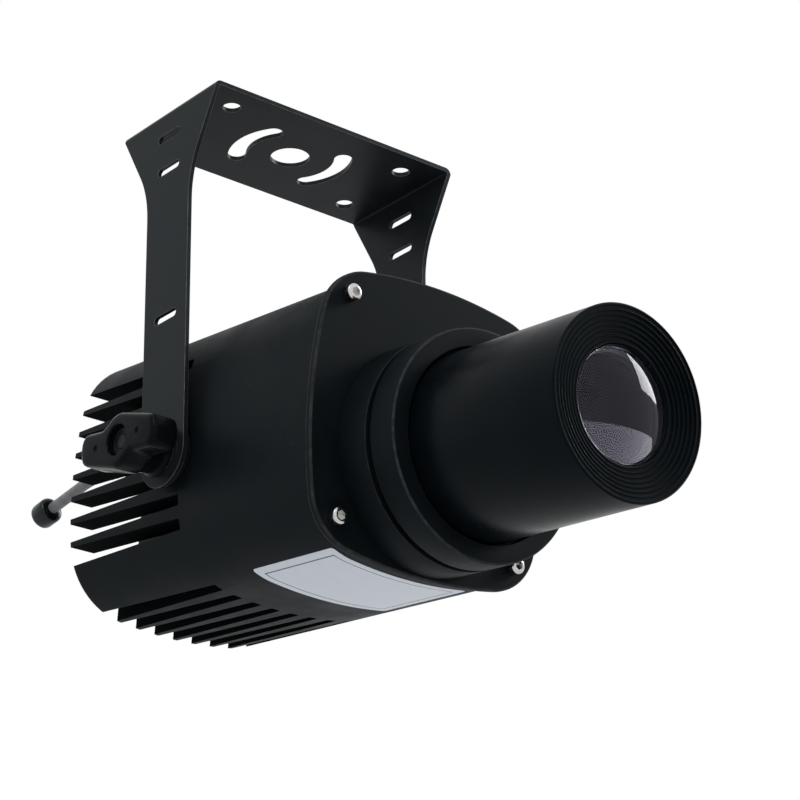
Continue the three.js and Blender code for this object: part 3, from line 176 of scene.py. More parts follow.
# Fan, its screws and the cable bracket
FAN_SIZE = 0.080
FAN_DEPTH = 0.025
FAN_REAR = 0.0503
FAN_CORNER_RADIUS = 0.004
FAN_BORE_RADIUS = 0.038
FAN_SCREW_SPACING = 0.0715
FAN_SCREW_GRIP = 0.008
FAN_HUB_RADIUS = 0.017
FAN_HUB_ROUND = 0.0015
FAN_HUB_RING_RADIUS = 0.012
FAN_HUB_RING_DEPTH = 0.0006
FAN_BASE_THICKNESS = 0.003
FAN_STRUT_COUNT = 4
FAN_STRUT_WIDTH = 0.004
FAN_EDGE_ROUND = 0.0005
FAN_BLADE_COUNT = 7
FAN_BLADE_ROOT = 0.0165
FAN_BLADE_TIP = 0.0362
FAN_BLADE_THICKNESS = 0.0011
FAN_BLADE_CHORDS = (0.016, 0.019)
FAN_BLADE_PITCHES = (0.95, 0.62)
FAN_BLADE_CAMBER = 0.0022
BRACKET_SHEET = 0.0015
BRACKET_INNER_X = -0.031
BRACKET_OUTER_X = -0.0486
BRACKET_TOP = 0.040
BRACKET_BOTTOM = -0.003

# Label
LABEL_WIDTH = 0.069
LABEL_LENGTH = 0.052
LABEL_GAP = 0.0001
LABEL_FILM = 0.0003
LABEL_X = -0.0048
LABEL_FRONT = 0.0845
LABEL_CORNER_ROUND = 0.0016
LABEL_LINE_INSET = 0.0036
LABEL_LINE_WIDTH = 0.0006
LABEL_BENDS = 24

# Power lead
LEAD_DIAMETER = 0.005
RELIEF_FLANGE_RADIUS = 0.0044
RELIEF_FLANGE = 0.0016
RELIEF_LENGTH = 0.020
RELIEF_TIP_RADIUS = 0.0033
RELIEF_RIBS = 5
RELIEF_RIB_DEPTH = 0.0004
LEAD_X = -0.0445
LEAD_Z = 0.005
LEAD_END_RADIUS = 0.00585
LEAD_END_LENGTH = 0.0092
LEAD_END_ROUND = 0.0044
LEAD_END_SOCKET_RADIUS = 0.0022
LEAD_END_SOCKET_DEPTH = 0.0055
# Route of the free lead in the head's frame, from the strain relief's tip to the round end
LEAD_ROUTE = (
    (LEAD_X, 0.0727, LEAD_Z), (LEAD_X, 0.0755, LEAD_Z), (-0.04451, 0.0783, 0.00495),
    (-0.04454, 0.0811, 0.00476), (-0.04459, 0.0839, 0.00442), (-0.04466, 0.0867, 0.00393),
    (-0.04476, 0.0895, 0.00329), (-0.04487, 0.0923, 0.00251), (-0.045, 0.0951, 0.00167),
    (-0.04513, 0.0979, 0.00083), (-0.04525, 0.1007, -0.00001), (-0.04538, 0.1035, -0.00085),
    (-0.0455, 0.1063, -0.00169), (-0.04563, 0.1091, -0.00253), (-0.04578, 0.1125, -0.00355),
)

# Each finish: grains to the metre, how high they stand, the roughness it drifts between,
# how strongly it reflects if it is not metal, and how far its edges are lightened, partly wear and partly
# painted highlight
Finish = namedtuple("Finish", "grain height roughness shine wear", defaults=(None, 0.4))
FINISHES = {
    "casting": Finish(2200.0, 0.00003, (0.46, 0.56), 0.055),
    # Finish of the cavity and slots, darker and duller inside as painted shade
    "sheltered casting": Finish(2200.0, 0.00003, (0.78, 0.88), 0.01),
    # The sheet's edges are lightened strongly: a painted highlight along its cut edges, with some wear
    "sheet": Finish(3000.0, 0.000012, (0.34, 0.42), 0.08, wear=1.0),
    "anodised": Finish(4200.0, 0.000006, (0.26, 0.34), 0.05),
    "moulding": Finish(1200.0, 0.00001, (0.16, 0.26), 0.045, wear=0.3),
    "blackened": Finish(3600.0, 0.000008, (0.32, 0.44), 0.15),
    "glossy rubber": Finish(900.0, 0.00001, (0.12, 0.2), 0.3, wear=0.2),
    "matt rubber": Finish(1600.0, 0.00002, (0.55, 0.66), 0.15, wear=0.2),
    "fibre": Finish(1100.0, 0.00005, (0.72, 0.84), 0.1),
    "steel": Finish(5200.0, 0.000006, (0.14, 0.24)),
    "aluminium": Finish(3800.0, 0.00001, (0.30, 0.42)),
    "pressed tin": Finish(1500.0, 0.00001, (0.34, 0.48)),
    "film": Finish(1800.0, 0.000006, (0.34, 0.44)),
    "sheath": Finish(1400.0, 0.00002, (0.34, 0.5)),
}

# How the slow changes, worn patches and specks of the finishes are spread
DRIFT_SCALE = 60.0
METAL_DRIFT = 160.0
FILM_DRIFT = 120.0
SHEATH_DRIFT = 300.0
GRAIN_DETAIL = 2.0
DRIFT_DETAIL = 4.0
DRIFT_RANGE = (0.35, 0.65)
WEAR_PATCH_SCALE = 300.0
WEAR_PATCH_RANGE = (0.42, 0.62)
WEAR_LEAST_SHARE = 0.5
SPECK_SCALE = 220.0
SPECK_EDGE_RANGE = (0.02, 0.06)
SPECK_RARITY = 0.86
SPECK_AMOUNT = 0.3

# Shares by which a colour is lightened or darkened
FADE_SHARE = 1.3
DULL_SHARE = 0.82
# Darkening of the casting inside the cavity and slots: painted shade
PAINTED_SHADE_SHARE = 0.6
FILM_PALE_SHARE = 1.06
SCUFF_SHARE = 0.75

# Tint of what the black finishes reflect
COOL_SHEEN = (0.78, 0.94, 1.0)

# Glass; its index is lower than real glass's 1.5, chosen so that less of the white surroundings shows in it
GLASS_IOR = 1.22
GLASS_GRAIN = 40.0
GLASS_DRIFT = 20.0
COATED_TINTS = ((0.86, 0.86, 0.93), (0.90, 0.88, 0.94))
COATED_SHEEN = (0.78, 0.74, 1.0)
PLAIN_TINTS = ((0.88, 0.86, 0.84), (0.92, 0.90, 0.88))
PLAIN_SHEEN = (1.0, 0.56, 0.36)

# Gobo disc
GOBO_RAY_COUNT = 8
GOBO_RAY_THRESHOLD = 0.2
GOBO_COATING = (0.02, 0.02, 0.022)
GOBO_RAYS = (0.85, 0.88, 0.9)
GOBO_ROUGHNESS = 0.12
GOBO_IOR = 1.5

# Light source's board
BOARD_GRAIN = 1500.0
BOARD_COLOURS = ((0.62, 0.63, 0.62), (0.70, 0.71, 0.70))
BOARD_ROUGHNESS = (0.35, 0.5)
PHOSPHOR = (0.80, 0.62, 0.10)

# How finely round things are cut
ROUND_STEPS = 128
MEDIUM_STEPS = 64
SMALL_STEPS = 32
SIDE_STEPS = 20
CORNER_STEPS = 14
EDGE_STEPS = 3
HEXAGON = 6
KNOB_RIM_STEPS = 4
LABEL_CORNER_STEPS = 4
LEAD_ROUND_STEPS = 6
LEAD_LENGTH_STEPS = 10
BLADE_STEPS_ALONG = 10
BLADE_STEPS_OUT = 8
SHARP_ANGLE = 0.55
WELD = 0.000001

# What the finishes read from a face: its mark, and the material slots that note where it lies
EDGE_MARK = "proud_edge"
PROUD = 1
# Slot of the faces inside the cavity and slots, which take painted shade
PAINTED_SHADE_SLOT = 2

# Studio: places and sizes in metres, leans in radians
CAMERA_NEAR = 0.01
FLOOR_HALF_SIZE = 12
FLOOR_GLOW = 0.36
FLOOR_GRAIN = 40.0
FLOOR_DRIFT = 3.0
FLOOR_COLOURS = ((0.80, 0.80, 0.80), (0.82, 0.82, 0.82))
FLOOR_ROUGHNESS = 0.7
KEY_PLACE = (-1.2, -0.9, 1.1)
KEY_SIZE = (0.9, 0.9)
WINDOW_PLACE = (1.27, -0.48, 0.58)
WINDOW_SIZE = (0.70, 0.48)
WINDOW_LEAN = -0.24
TABLE_PLACE = (0.72, -1.06, -0.57)
TABLE_SIZE = (1.90, 0.72)
TABLE_LEAN = 0.22

# Turns a shape drawn in X and Y, with its depth along Z, to stand along another axis
DEPTH_ALONG_X = Matrix(((0, 0, 1, 0), (1, 0, 0, 0), (0, 1, 0, 0), (0, 0, 0, 1)))
DEPTH_ALONG_Y = Matrix(((1, 0, 0, 0), (0, 0, 1, 0), (0, 1, 0, 0), (0, 0, 0, 1)))
DEPTH_ALONG_Z = Matrix.Identity(4)


def length(label, meaning, default):
    return FloatProperty(name=label, description=meaning, default=default, min=0, unit="LENGTH", precision=5)


def angle(label, meaning, default):
    return FloatProperty(name=label, description=meaning, default=default, unit="ROTATION", precision=4)


def colour(label, meaning, default):
    return FloatVectorProperty(
        name=label, description=meaning, default=default, size=3, min=0, max=1, subtype="COLOR")


def amount(label, meaning, default):
    return FloatProperty(name=label, description=meaning, default=default, min=0)


class ProjectorYoke(bpy.types.PropertyGroup):
    width: length("Width", "Across the outsides of the two arms", 0.1315)
    depth: length("Depth", "Of the top plate, front to back", 0.067)
    sheet: length("Sheet", "Thickness of the sheet metal", 0.002)
    bend_radius: length("Bend radius", "Outside radius of the two bends", 0.003)
    drop: length("Drop", "From the plate's top face down to the tilt axis", 0.1605)
    edge_round: length("Edge round", "Softening of the cut edges under the paint", 0.0003)


class ProjectorHead(bpy.types.PropertyGroup):
    tilt: angle("Tilt", "Angle of the head below level at rest", 0.107)
    half_width: length("Half width", "From the middle of the housing to a face", 0.060)
    side_radius: length("Side radius", "Radius of the bulging faces", 0.210)
    corner_radius: length("Corner radius", "Radius of the rounded corners", 0.033)
    rear: length("Rear", "From the tilt axis back to the rear edge", 0.0755)
    length: length("Length", "Of the housing casting", 0.165)


class ProjectorLens(bpy.types.PropertyGroup):
    mount_radius: length("Mount radius", "Outside radius of the lens mount and collar", 0.0472)
    barrel_radius: length("Barrel radius", "Outside radius of the focusing barrel", 0.0382)
    barrel_length: length("Barrel length", "Rear edge to rim", 0.0996)
    barrel_front: length("Barrel front", "From the tilt axis forward to the rim", 0.2066)


class ProjectorColours(bpy.types.PropertyGroup):
    casting: colour("Casting", "Textured black of the housing", (0.0046, 0.0066, 0.0080))
    sheet: colour("Sheet paint", "Satin black of the yoke", (0.0112, 0.0142, 0.0162))
    anodised: colour("Anodised", "Black of the barrel", (0.0022, 0.0038, 0.0052))
    moulding: colour("Moulding", "Black of knobs and fan", (0.0034, 0.0044, 0.0054))
    # Edge colours: the casting's and the sheet's are partly wear and partly a painted highlight along the
    # edges
    worn_casting_and_highlight: colour("Worn casting", "Edges of the castings and turned parts", (0.09, 0.095, 0.10))
    worn_sheet_and_highlight: colour("Worn sheet", "Edges of the yoke", (0.24, 0.25, 0.27))
    worn_plastic: colour("Worn plastic", "Edges of the plastic and rubber parts", (0.05, 0.052, 0.055))
    steel: colour("Steel", "Bright screws", (0.62, 0.61, 0.60))
    aluminium: colour("Aluminium", "Bare inner metal", (0.56, 0.57, 0.58))
    label: colour("Label", "Film of the rating label", (0.74, 0.80, 0.90))
    ink: colour("Ink", "Lines on the label", (0.03, 0.033, 0.05))
    lead: colour("Lead", "Sheath of the power lead", (0.20, 0.205, 0.215))
    dust: colour("Dust", "Lint that settles on the black", (0.30, 0.30, 0.31))


class ProjectorStudio(bpy.types.PropertyGroup):
    azimuth: angle("Azimuth", "Camera's place round the object", -0.701404)
    elevation: angle("Elevation", "Camera's height above the horizon", -0.405800)
    roll: angle("Roll", "Camera's turn about its own line of sight", -0.013147)
    focal: FloatProperty(name="Focal length", description="Camera lens in millimetres", default=125.68)
    camera_place: FloatVectorProperty(
        name="Camera place", description="Where the camera stands", size=3,
        default=(-0.674187, -0.871937, -0.593341), subtype="TRANSLATION")
    floor_drop: length("Floor drop", "From the hanging hole down to the floor", 0.95)
    ambient: amount("Ambient", "Strength of the even light from all round", 0.72)
    key_power: amount("Key power", "Watts of the large softbox at the left", 7)
    window_power: amount("Window power", "Watts of the wide softbox at the right, for reflections only", 14)
    table_power: amount("Table power", "Watts of the pale table's sheen in the front glass", 35)


def settings(name):
    return getattr(bpy.context.scene, "projector_" + name)


def head_place():
    """From the head's own frame, Y from the tilt axis and Z from the housing's middle, to the object's."""
    yoke, head = settings("yoke"), settings("head")
    return (Matrix.Translation((0, 0, -yoke.drop)) @ Matrix.Rotation(head.tilt, 4, "X")
            @ Matrix.Translation((0, 0, TILT_AXIS_BELOW_MIDDLE)))


def lens_place():
    """As head_place, with the lens axis as its middle line."""
    return head_place() @ Matrix.Translation((0, 0, -LENS_AXIS_BELOW_MIDDLE))


def pivot_place():
    """As head_place, with the tilt axis as its middle line."""
    return head_place() @ Matrix.Translation((0, 0, -TILT_AXIS_BELOW_MIDDLE))


def cover_front():
    head = settings("head")
    return head.rear - head.length - FIT - COVER_THICKNESS


# Shapes


def turn_verts(bm, geometry, centre, axis, sweep, steps):
    """Sweeps points or lines round an axis and gives back the last ones."""
    swept = bmesh.ops.spin(
        bm, geom=geometry, cent=centre, axis=axis, dvec=(0, 0, 0), angle=sweep, steps=steps,
        space=Matrix.Identity(4), use_merge=False, use_duplicate=False)
    return [item for item in swept["geom_last"] if isinstance(item, bmesh.types.BMVert)]


def chain(bm, points, closed=True):
    """Joins points given as pairs into a line of edges."""
    verts = [bm.verts.new((x, y, 0)) for x, y in points]
    pairs = list(zip(verts, verts[1:]))
    if closed:
        pairs.append((verts[-1], verts[0]))
    for pair in pairs:
        bm.edges.new(pair)
    return verts


def round_corners(bm, verts, radius, steps=EDGE_STEPS):
    bmesh.ops.bevel(
        bm, geom=verts, offset=radius, offset_type="OFFSET", segments=steps, profile=0.5,
        affect="VERTICES", clamp_overlap=True, material=-1)


def tidy_shell(bm):
    """Welds a closed shell and turns its faces outwards."""
    bmesh.ops.remove_doubles(bm, verts=bm.verts[:], dist=WELD)
    bmesh.ops.recalc_face_normals(bm, faces=bm.faces[:])


def raise_outline(bm, low, high, turn):
    """Fills a closed outline and gives it depth from low to high."""
    bmesh.ops.remove_doubles(bm, verts=bm.verts[:], dist=WELD)
    bmesh.ops.contextual_create(bm, geom=bm.edges[:])
    bmesh.ops.translate(bm, verts=bm.verts[:], vec=(0, 0, low))
    raised = bmesh.ops.extrude_face_region(bm, geom=bm.faces[:])["geom"]
    top = [item for item in raised if isinstance(item, bmesh.types.BMVert)]
    bmesh.ops.translate(bm, verts=top, vec=(0, 0, high - low))
    bmesh.ops.transform(bm, matrix=turn, verts=bm.verts[:])
    bmesh.ops.recalc_face_normals(bm, faces=bm.faces[:])
    return bm


def prism(points, low, high, turn, rounding=0, steps=EDGE_STEPS):
    """A straight-sided block from an outline of points, with its upright corners rounded."""
    bm = bmesh.new()
    verts = chain(bm, points)
    if rounding:
        round_corners(bm, verts, rounding, steps)
    return raise_outline(bm, low, high, turn)


def block(low, high):
    """A block between two corners."""
    (x0, y0, z0), (x1, y1, z1) = low, high
    return prism(((x0, y0), (x1, y0), (x1, y1), (x0, y1)), z0, z1, DEPTH_ALONG_Z)


def rod(radius, low, high, turn, place=(0, 0), steps=SMALL_STEPS):
    """A round rod whose middle line passes through place."""
    bm = bmesh.new()
    centre = Matrix.Translation((place[0], place[1], 0))
    bmesh.ops.create_circle(bm, cap_ends=False, radius=radius, segments=steps, matrix=centre)
    return raise_outline(bm, low, high, turn)


def revolve(bm, steps):
    """Turns a line of edges all the way round the Y axis."""
    bmesh.ops.spin(
        bm, geom=bm.verts[:] + bm.edges[:], cent=(0, 0, 0), axis=(0, 1, 0), dvec=(0, 0, 0),
        angle=2 * math.pi, steps=steps, space=Matrix.Identity(4), use_merge=True, use_duplicate=False)


def spun(profile, steps=ROUND_STEPS, rounding=TURNED_EDGE_ROUND, place=(0, 0)):
    """Turns a profile of [radius, y] pairs round a line along Y.

    A profile that starts on the line stays open there.
    """
    bm = bmesh.new()
    on_axis = profile[0][0] == 0
    verts = chain(bm, profile, closed=not on_axis)
    corners = verts[1:-1] if on_axis else verts
    if rounding:
        round_corners(bm, corners, rounding)
    revolve(bm, steps)
    bmesh.ops.translate(bm, verts=bm.verts[:], vec=(place[0], 0, place[1]))
    tidy_shell(bm)
    return bm


def corner_centre(half_width, side_radius, corner_radius):
    """How far out in X and in Y the centre of a bulged square's corner lies."""
    back = side_radius - half_width
    reach = side_radius - corner_radius
    return (math.sqrt(2 * reach * reach - back * back) - back) / 2


def bulged_outline(half_width, side_radius, corner_radius):
    """A square outline with bulging sides and round corners."""
    bm = bmesh.new()
    back = side_radius - half_width
    corner = corner_centre(half_width, side_radius, corner_radius)
    turn = math.atan2(corner, corner + back)
    start = bm.verts.new((side_radius * math.cos(turn) - back, -side_radius * math.sin(turn), 0))
    side_end = turn_verts(bm, [start], (-back, 0, 0), (0, 0, 1), 2 * turn, SIDE_STEPS)
    turn_verts(bm, side_end, (corner, corner, 0), (0, 0, 1), math.pi / 2 - 2 * turn, CORNER_STEPS)
    quarter = bm.verts[:] + bm.edges[:]
    for quarter_turns in range(1, 4):
        copy = bmesh.ops.duplicate(bm, geom=quarter)["geom"]
        verts = [item for item in copy if isinstance(item, bmesh.types.BMVert)]
        spin = Matrix.Rotation(quarter_turns * math.pi / 2, 3, "Z")
        bmesh.ops.rotate(bm, cent=(0, 0, 0), matrix=spin, verts=verts)
    return bm


def housing_outline():
    head = settings("head")
    return bulged_outline(head.half_width, head.side_radius, head.corner_radius)


def cavity_outline(gap=0):
    return bulged_outline(CAVITY_HALF_WIDTH + gap, CAVITY_SIDE_RADIUS + gap, CAVITY_CORNER_RADIUS + gap)


def curved_slot(radius, width, middle, half_angle):
    """The outline of a slot that runs round the origin."""
    bm = bmesh.new()
    half = width / 2
    start_angle = middle - half_angle
    end_angle = middle + half_angle
    up = (0, 0, 1)
    outside = radius + half
    start = bm.verts.new((outside * math.cos(start_angle), outside * math.sin(start_angle), 0))
    outer = turn_verts(bm, [start], (0, 0, 0), up, 2 * half_angle, SIDE_STEPS)
    far = (radius * math.cos(end_angle), radius * math.sin(end_angle), 0)
    inner = turn_verts(bm, outer, far, up, math.pi, CORNER_STEPS)
    back = turn_verts(bm, inner, (0, 0, 0), up, -2 * half_angle, SIDE_STEPS)
    near = (radius * math.cos(start_angle), radius * math.sin(start_angle), 0)
    turn_verts(bm, back, near, up, math.pi, CORNER_STEPS)
    return bm


def straight_slot(slot_length, height, middle):
    """The outline of a slot with round ends, centred on a height."""
    bm = bmesh.new()
    half = height / 2
    reach = slot_length / 2 - half
    up = (0, 0, 1)
    right = bm.verts.new((reach, middle - half, 0))
    right_top = turn_verts(bm, [right], (reach, middle, 0), up, math.pi, CORNER_STEPS)[0]
    left_top = bm.verts.new((-reach, middle + half, 0))
    bm.edges.new((right_top, left_top))
    left = turn_verts(bm, [left_top], (-reach, middle, 0), up, math.pi, CORNER_STEPS)[0]
    bm.edges.new((left, right))
    return bm


def merged(shapes):
    """Puts several shapes that don't touch into one mesh."""
    whole = bmesh.new()
    for shape in shapes:
        mesh = bpy.data.meshes.new("Part")
        shape.to_mesh(mesh)
        shape.free()
        whole.from_mesh(mesh)
        bpy.data.meshes.remove(mesh)
    return whole


# Objects


def make(name, bm, place):
    """Makes an object of a shape, with its place put into the mesh."""
    bmesh.ops.transform(bm, matrix=place, verts=bm.verts[:])
    mesh = bpy.data.meshes.new(name)
    bm.to_mesh(mesh)
    bm.free()
    piece = bpy.data.objects.new(name, mesh)
    bpy.context.scene.collection.objects.link(piece)
    return piece


def settle(piece):
    """Works a piece's modifiers into its mesh."""
    graph = bpy.context.evaluated_depsgraph_get()
    mesh = bpy.data.meshes.new_from_object(piece.evaluated_get(graph))
    old = piece.data
    piece.modifiers.clear()
    piece.data = mesh
    mesh.name = piece.name
    bpy.data.meshes.remove(old)


def give_slots(piece, last):
    """Gives a piece empty material slots up to the last one named."""
    while len(piece.data.materials) <= last:
        piece.data.materials.append(None)


def combine(piece, bm, place, operation, slot=0):
    """Cuts a shape out of a piece or joins it on; the faces that it leaves take a material slot."""
    tool = make("Tool", bm, place)
    give_slots(piece, slot)
    give_slots(tool, slot)
    tool.data.polygons.foreach_set("material_index", [slot] * len(tool.data.polygons))
    modifier = piece.modifiers.new("Combine", "BOOLEAN")
    modifier.operation = operation
    modifier.solver = "EXACT"
    modifier.object = tool
    settle(piece)
    mesh = tool.data
    bpy.data.objects.remove(tool)
    bpy.data.meshes.remove(mesh)


def cut(piece, bm, place, slot=0):
    combine(piece, bm, place, "DIFFERENCE", slot)


def join(piece, bm, place):
    combine(piece, bm, place, "UNION")


def weld(piece):
    """Closes the hairline seams that cutting can leave."""
    bm = bmesh.new()
    bm.from_mesh(piece.data)
    bmesh.ops.remove_doubles(bm, verts=bm.verts[:], dist=WELD)
    bmesh.ops.dissolve_degenerate(bm, edges=bm.edges[:], dist=WELD)
    bm.to_mesh(piece.data)
    bm.free()


def mark_edges(piece, chosen):
    """Notes for the finish which faces are proud edges; chosen has one true or false for each face."""
    edges = piece.data.attributes.new(EDGE_MARK, "FLOAT", "FACE")
    edges.data.foreach_set("value", [float(proud) for proud in chosen])


def soften(piece, width, steps=2):
    """Rounds the sharp edges of a piece, marks them and shades its flats flat."""
    weld(piece)
    piece.data.shade_smooth()
    give_slots(piece, PAINTED_SHADE_SLOT)
    bevel = piece.modifiers.new("Edge round", "BEVEL")
    bevel.width = width
    bevel.segments = steps
    bevel.material = PROUD
    bevel.limit_method = "ANGLE"
    bevel.angle_limit = SHARP_ANGLE
    bevel.use_clamp_overlap = True
    normals = piece.modifiers.new("Flat shading", "WEIGHTED_NORMAL")
    normals.keep_sharp = True
    settle(piece)
    mark_edges(piece, [face.material_index == PROUD for face in piece.data.polygons])


def shade(piece):
    """Shades a turned piece smooth, with its sharp edges kept."""
    piece.data.shade_smooth()
    piece.data.set_sharp_from_angle(angle=SHARP_ANGLE)


def mark_narrow_faces(piece, width):
    """Marks as proud edges the faces of a turned piece that are narrower than a width."""
    mesh = piece.data
    chosen = []
    for face in mesh.polygons:
        corners = [mesh.vertices[i].co for i in face.vertices]
        sides = [(a - b).length for a, b in zip(corners, corners[1:] + corners[:1])]
        chosen.append(min(sides) < width)
    mark_edges(piece, chosen)


def dress(piece, finish, body, slot, node, sheltered=None):
    """Gives a piece its finish, the body it moves with and the node it stands for.

    Its faces in the painted shade slot can have a darker finish of their own: painted shade inside the
    cavity and slots.
    """
    inner = [int(face.material_index == PAINTED_SHADE_SLOT) for face in piece.data.polygons]
    piece.data.materials.clear()
    piece.data.materials.append(material(finish))
    if sheltered:
        piece.data.materials.append(material(sheltered))
        piece.data.polygons.foreach_set("material_index", inner)
    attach(piece, body)
    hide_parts(node)


def make_turned(name, shape, place, *dressing):
    """Makes a turned piece, shades it smooth and dresses it."""
    piece = make(name, shape, place)
    shade(piece)
    dress(piece, *dressing)
    return piece


# Node groups shared by the materials


def new_group(name, inputs, outputs):
    """A shader node group with its sockets; inputs and outputs are (name, kind, default) triples."""
    group = bpy.data.node_groups.new(name, "ShaderNodeTree")
    for label, kind, default in inputs:
        socket = group.interface.new_socket(name=label, in_out="INPUT", socket_type=kind)
        if default is not None:
            socket.default_value = default
    for label, kind in outputs:
        group.interface.new_socket(name=label, in_out="OUTPUT", socket_type=kind)
    entry = group.nodes.new("NodeGroupInput")
    leave = group.nodes.new("NodeGroupOutput")
    return group, entry, leave


def noise(tree, vector, scale, detail):
    node = tree.nodes.new("ShaderNodeTexNoise")
    node.inputs["Detail"].default_value = detail
    tree.links.new(vector, node.inputs["Vector"])
    tree.links.new(scale, node.inputs["Scale"])
    return node.outputs["Fac"]


def calculate(tree, operation, *values):
    """One Math node; each value is a number or another node's output."""
    node = tree.nodes.new("ShaderNodeMath")
    node.operation = operation
    for socket, value in zip(node.inputs, values):
        if isinstance(value, bpy.types.NodeSocket):
            tree.links.new(value, socket)
        else:
            socket.default_value = value
    return node.outputs["Value"]


def between(tree, value, low, high):
    """Maps low..high onto 0..1 and holds it there."""
    node = tree.nodes.new("ShaderNodeMapRange")
    node.clamp = True
    node.inputs["From Min"].default_value = low
    node.inputs["From Max"].default_value = high
    tree.links.new(value, node.inputs["Value"])
    return node.outputs["Result"]


def blend(tree, mask, first, second):
    """Mixes two colours by a mask."""
    node = tree.nodes.new("ShaderNodeMix")
    node.data_type = "RGBA"
    tree.links.new(mask, node.inputs["Factor"])
    for socket, value in ((node.inputs[6], first), (node.inputs[7], second)):
        if isinstance(value, bpy.types.NodeSocket):
            tree.links.new(value, socket)
        else:
            socket.default_value = (*value, 1)
    return node.outputs[2]


def build_grain_group():
    """Fine texture of paint and castings: a height, and a mask of its slow variation."""
    group, entry, leave = new_group(
        "Fine Grain",
        [("Vector", "NodeSocketVector", None), ("Grain", "NodeSocketFloat", None),
         ("Drift", "NodeSocketFloat", DRIFT_SCALE)],
        [("Height", "NodeSocketFloat"), ("Variation", "NodeSocketFloat")])
    fine = noise(group, entry.outputs["Vector"], entry.outputs["Grain"], GRAIN_DETAIL)
    drift = noise(group, entry.outputs["Vector"], entry.outputs["Drift"], DRIFT_DETAIL)
    group.links.new(fine, leave.inputs["Height"])
    group.links.new(between(group, drift, *DRIFT_RANGE), leave.inputs["Variation"])


def build_wear_and_highlight_group():
    """Lightens the proud edges of a finish, broken up by noise: partly wear, partly a painted highlight
    along the edges.
    """
    group, entry, leave = new_group(
        "Edge Wear And Highlight",
        [("Vector", "NodeSocketVector", None), ("Edge", "NodeSocketFloat", 0.0),
         ("Finish", "NodeSocketColor", None), ("Worn", "NodeSocketColor", None),
         ("Amount", "NodeSocketFloat", None), ("Patch Scale", "NodeSocketFloat", WEAR_PATCH_SCALE)],
        [("Color", "NodeSocketColor")])
    patches = noise(group, entry.outputs["Vector"], entry.outputs["Patch Scale"], DRIFT_DETAIL)
    patch = between(group, patches, *WEAR_PATCH_RANGE)
    uneven = calculate(group, "MULTIPLY_ADD", patch, 1 - WEAR_LEAST_SHARE, WEAR_LEAST_SHARE)
    broken = calculate(group, "MULTIPLY", entry.outputs["Edge"], uneven)
    mask = calculate(group, "MULTIPLY", broken, entry.outputs["Amount"])
    mixed = blend(group, mask, entry.outputs["Finish"], entry.outputs["Worn"])
    group.links.new(mixed, leave.inputs["Color"])


def build_dust_group():
    """Scattered specks of lint, each a small round dot."""
    group, entry, leave = new_group(
        "Dust Specks",
        [("Vector", "NodeSocketVector", None), ("Finish", "NodeSocketColor", None),
         ("Dust", "NodeSocketColor", None), ("Amount", "NodeSocketFloat", None),
         ("Spacing Scale", "NodeSocketFloat", SPECK_SCALE)],
        [("Color", "NodeSocketColor")])
    cells = group.nodes.new("ShaderNodeTexVoronoi")
    group.links.new(entry.outputs["Vector"], cells.inputs["Vector"])
    group.links.new(entry.outputs["Spacing Scale"], cells.inputs["Scale"])
    outside = between(group, cells.outputs["Distance"], *SPECK_EDGE_RANGE)
    dot = calculate(group, "SUBTRACT", 1.0, outside)
    pick = group.nodes.new("ShaderNodeSeparateColor")
    group.links.new(cells.outputs["Color"], pick.inputs["Color"])
    chosen = calculate(group, "GREATER_THAN", pick.outputs["Red"], SPECK_RARITY)
    spots = calculate(group, "MULTIPLY", dot, chosen)
    mask = calculate(group, "MULTIPLY", spots, entry.outputs["Amount"])
    mixed = blend(group, mask, entry.outputs["Finish"], entry.outputs["Dust"])
    group.links.new(mixed, leave.inputs["Color"])


def place_group(tree, name, vector, **values):
    """Puts a node group in a material and sets or links its inputs; a value's name has _ for a space."""
    node = tree.nodes.new("ShaderNodeGroup")
    node.node_tree = bpy.data.node_groups[name]
    tree.links.new(vector, node.inputs["Vector"])
    for key, value in values.items():
        socket = node.inputs[key.replace("_", " ")]
        if isinstance(value, bpy.types.NodeSocket):
            tree.links.new(value, socket)
        elif socket.type == "RGBA":
            socket.default_value = (*value, 1)
        else:
            socket.default_value = value
    return node


# Materials


def start_material(name):
    """A new material, its node tree, its shader and the coordinates of its object."""
    made = bpy.data.materials.new(name)
    made.use_nodes = True
    tree = made.node_tree
    coordinates = tree.nodes.new("ShaderNodeTexCoord")
    return made, tree, tree.nodes["Principled BSDF"], coordinates.outputs["Object"]


def set_sockets(shader, **values):
    """Sets sockets of a shader that are the same all over; a name has _ for a space."""
    for key, value in values.items():
        shader.inputs[key.replace("_", " ")].default_value = value


def bump(tree, shader, height, depth):
    node = tree.nodes.new("ShaderNodeBump")
    node.inputs["Distance"].default_value = depth
    tree.links.new(height, node.inputs["Height"])
    tree.links.new(node.outputs["Normal"], shader.inputs["Normal"])


def roughness_from(tree, shader, variation, low, high):
    """Roughness that drifts between two values over the surface."""
    node = tree.nodes.new("ShaderNodeMapRange")
    node.inputs["To Min"].default_value = low
    node.inputs["To Max"].default_value = high
    tree.links.new(variation, node.inputs["Value"])
    tree.links.new(node.outputs["Result"], shader.inputs["Roughness"])


def centred(tree, place, centre, tilt):
    """Coordinates measured from a centre, in a frame that is turned by a tilt."""
    node = tree.nodes.new("ShaderNodeMapping")
    node.vector_type = "TEXTURE"
    node.inputs["Location"].default_value = centre
    node.inputs["Rotation"].default_value = (tilt, 0, 0)
    tree.links.new(place, node.inputs["Vector"])
    return node.outputs["Vector"]


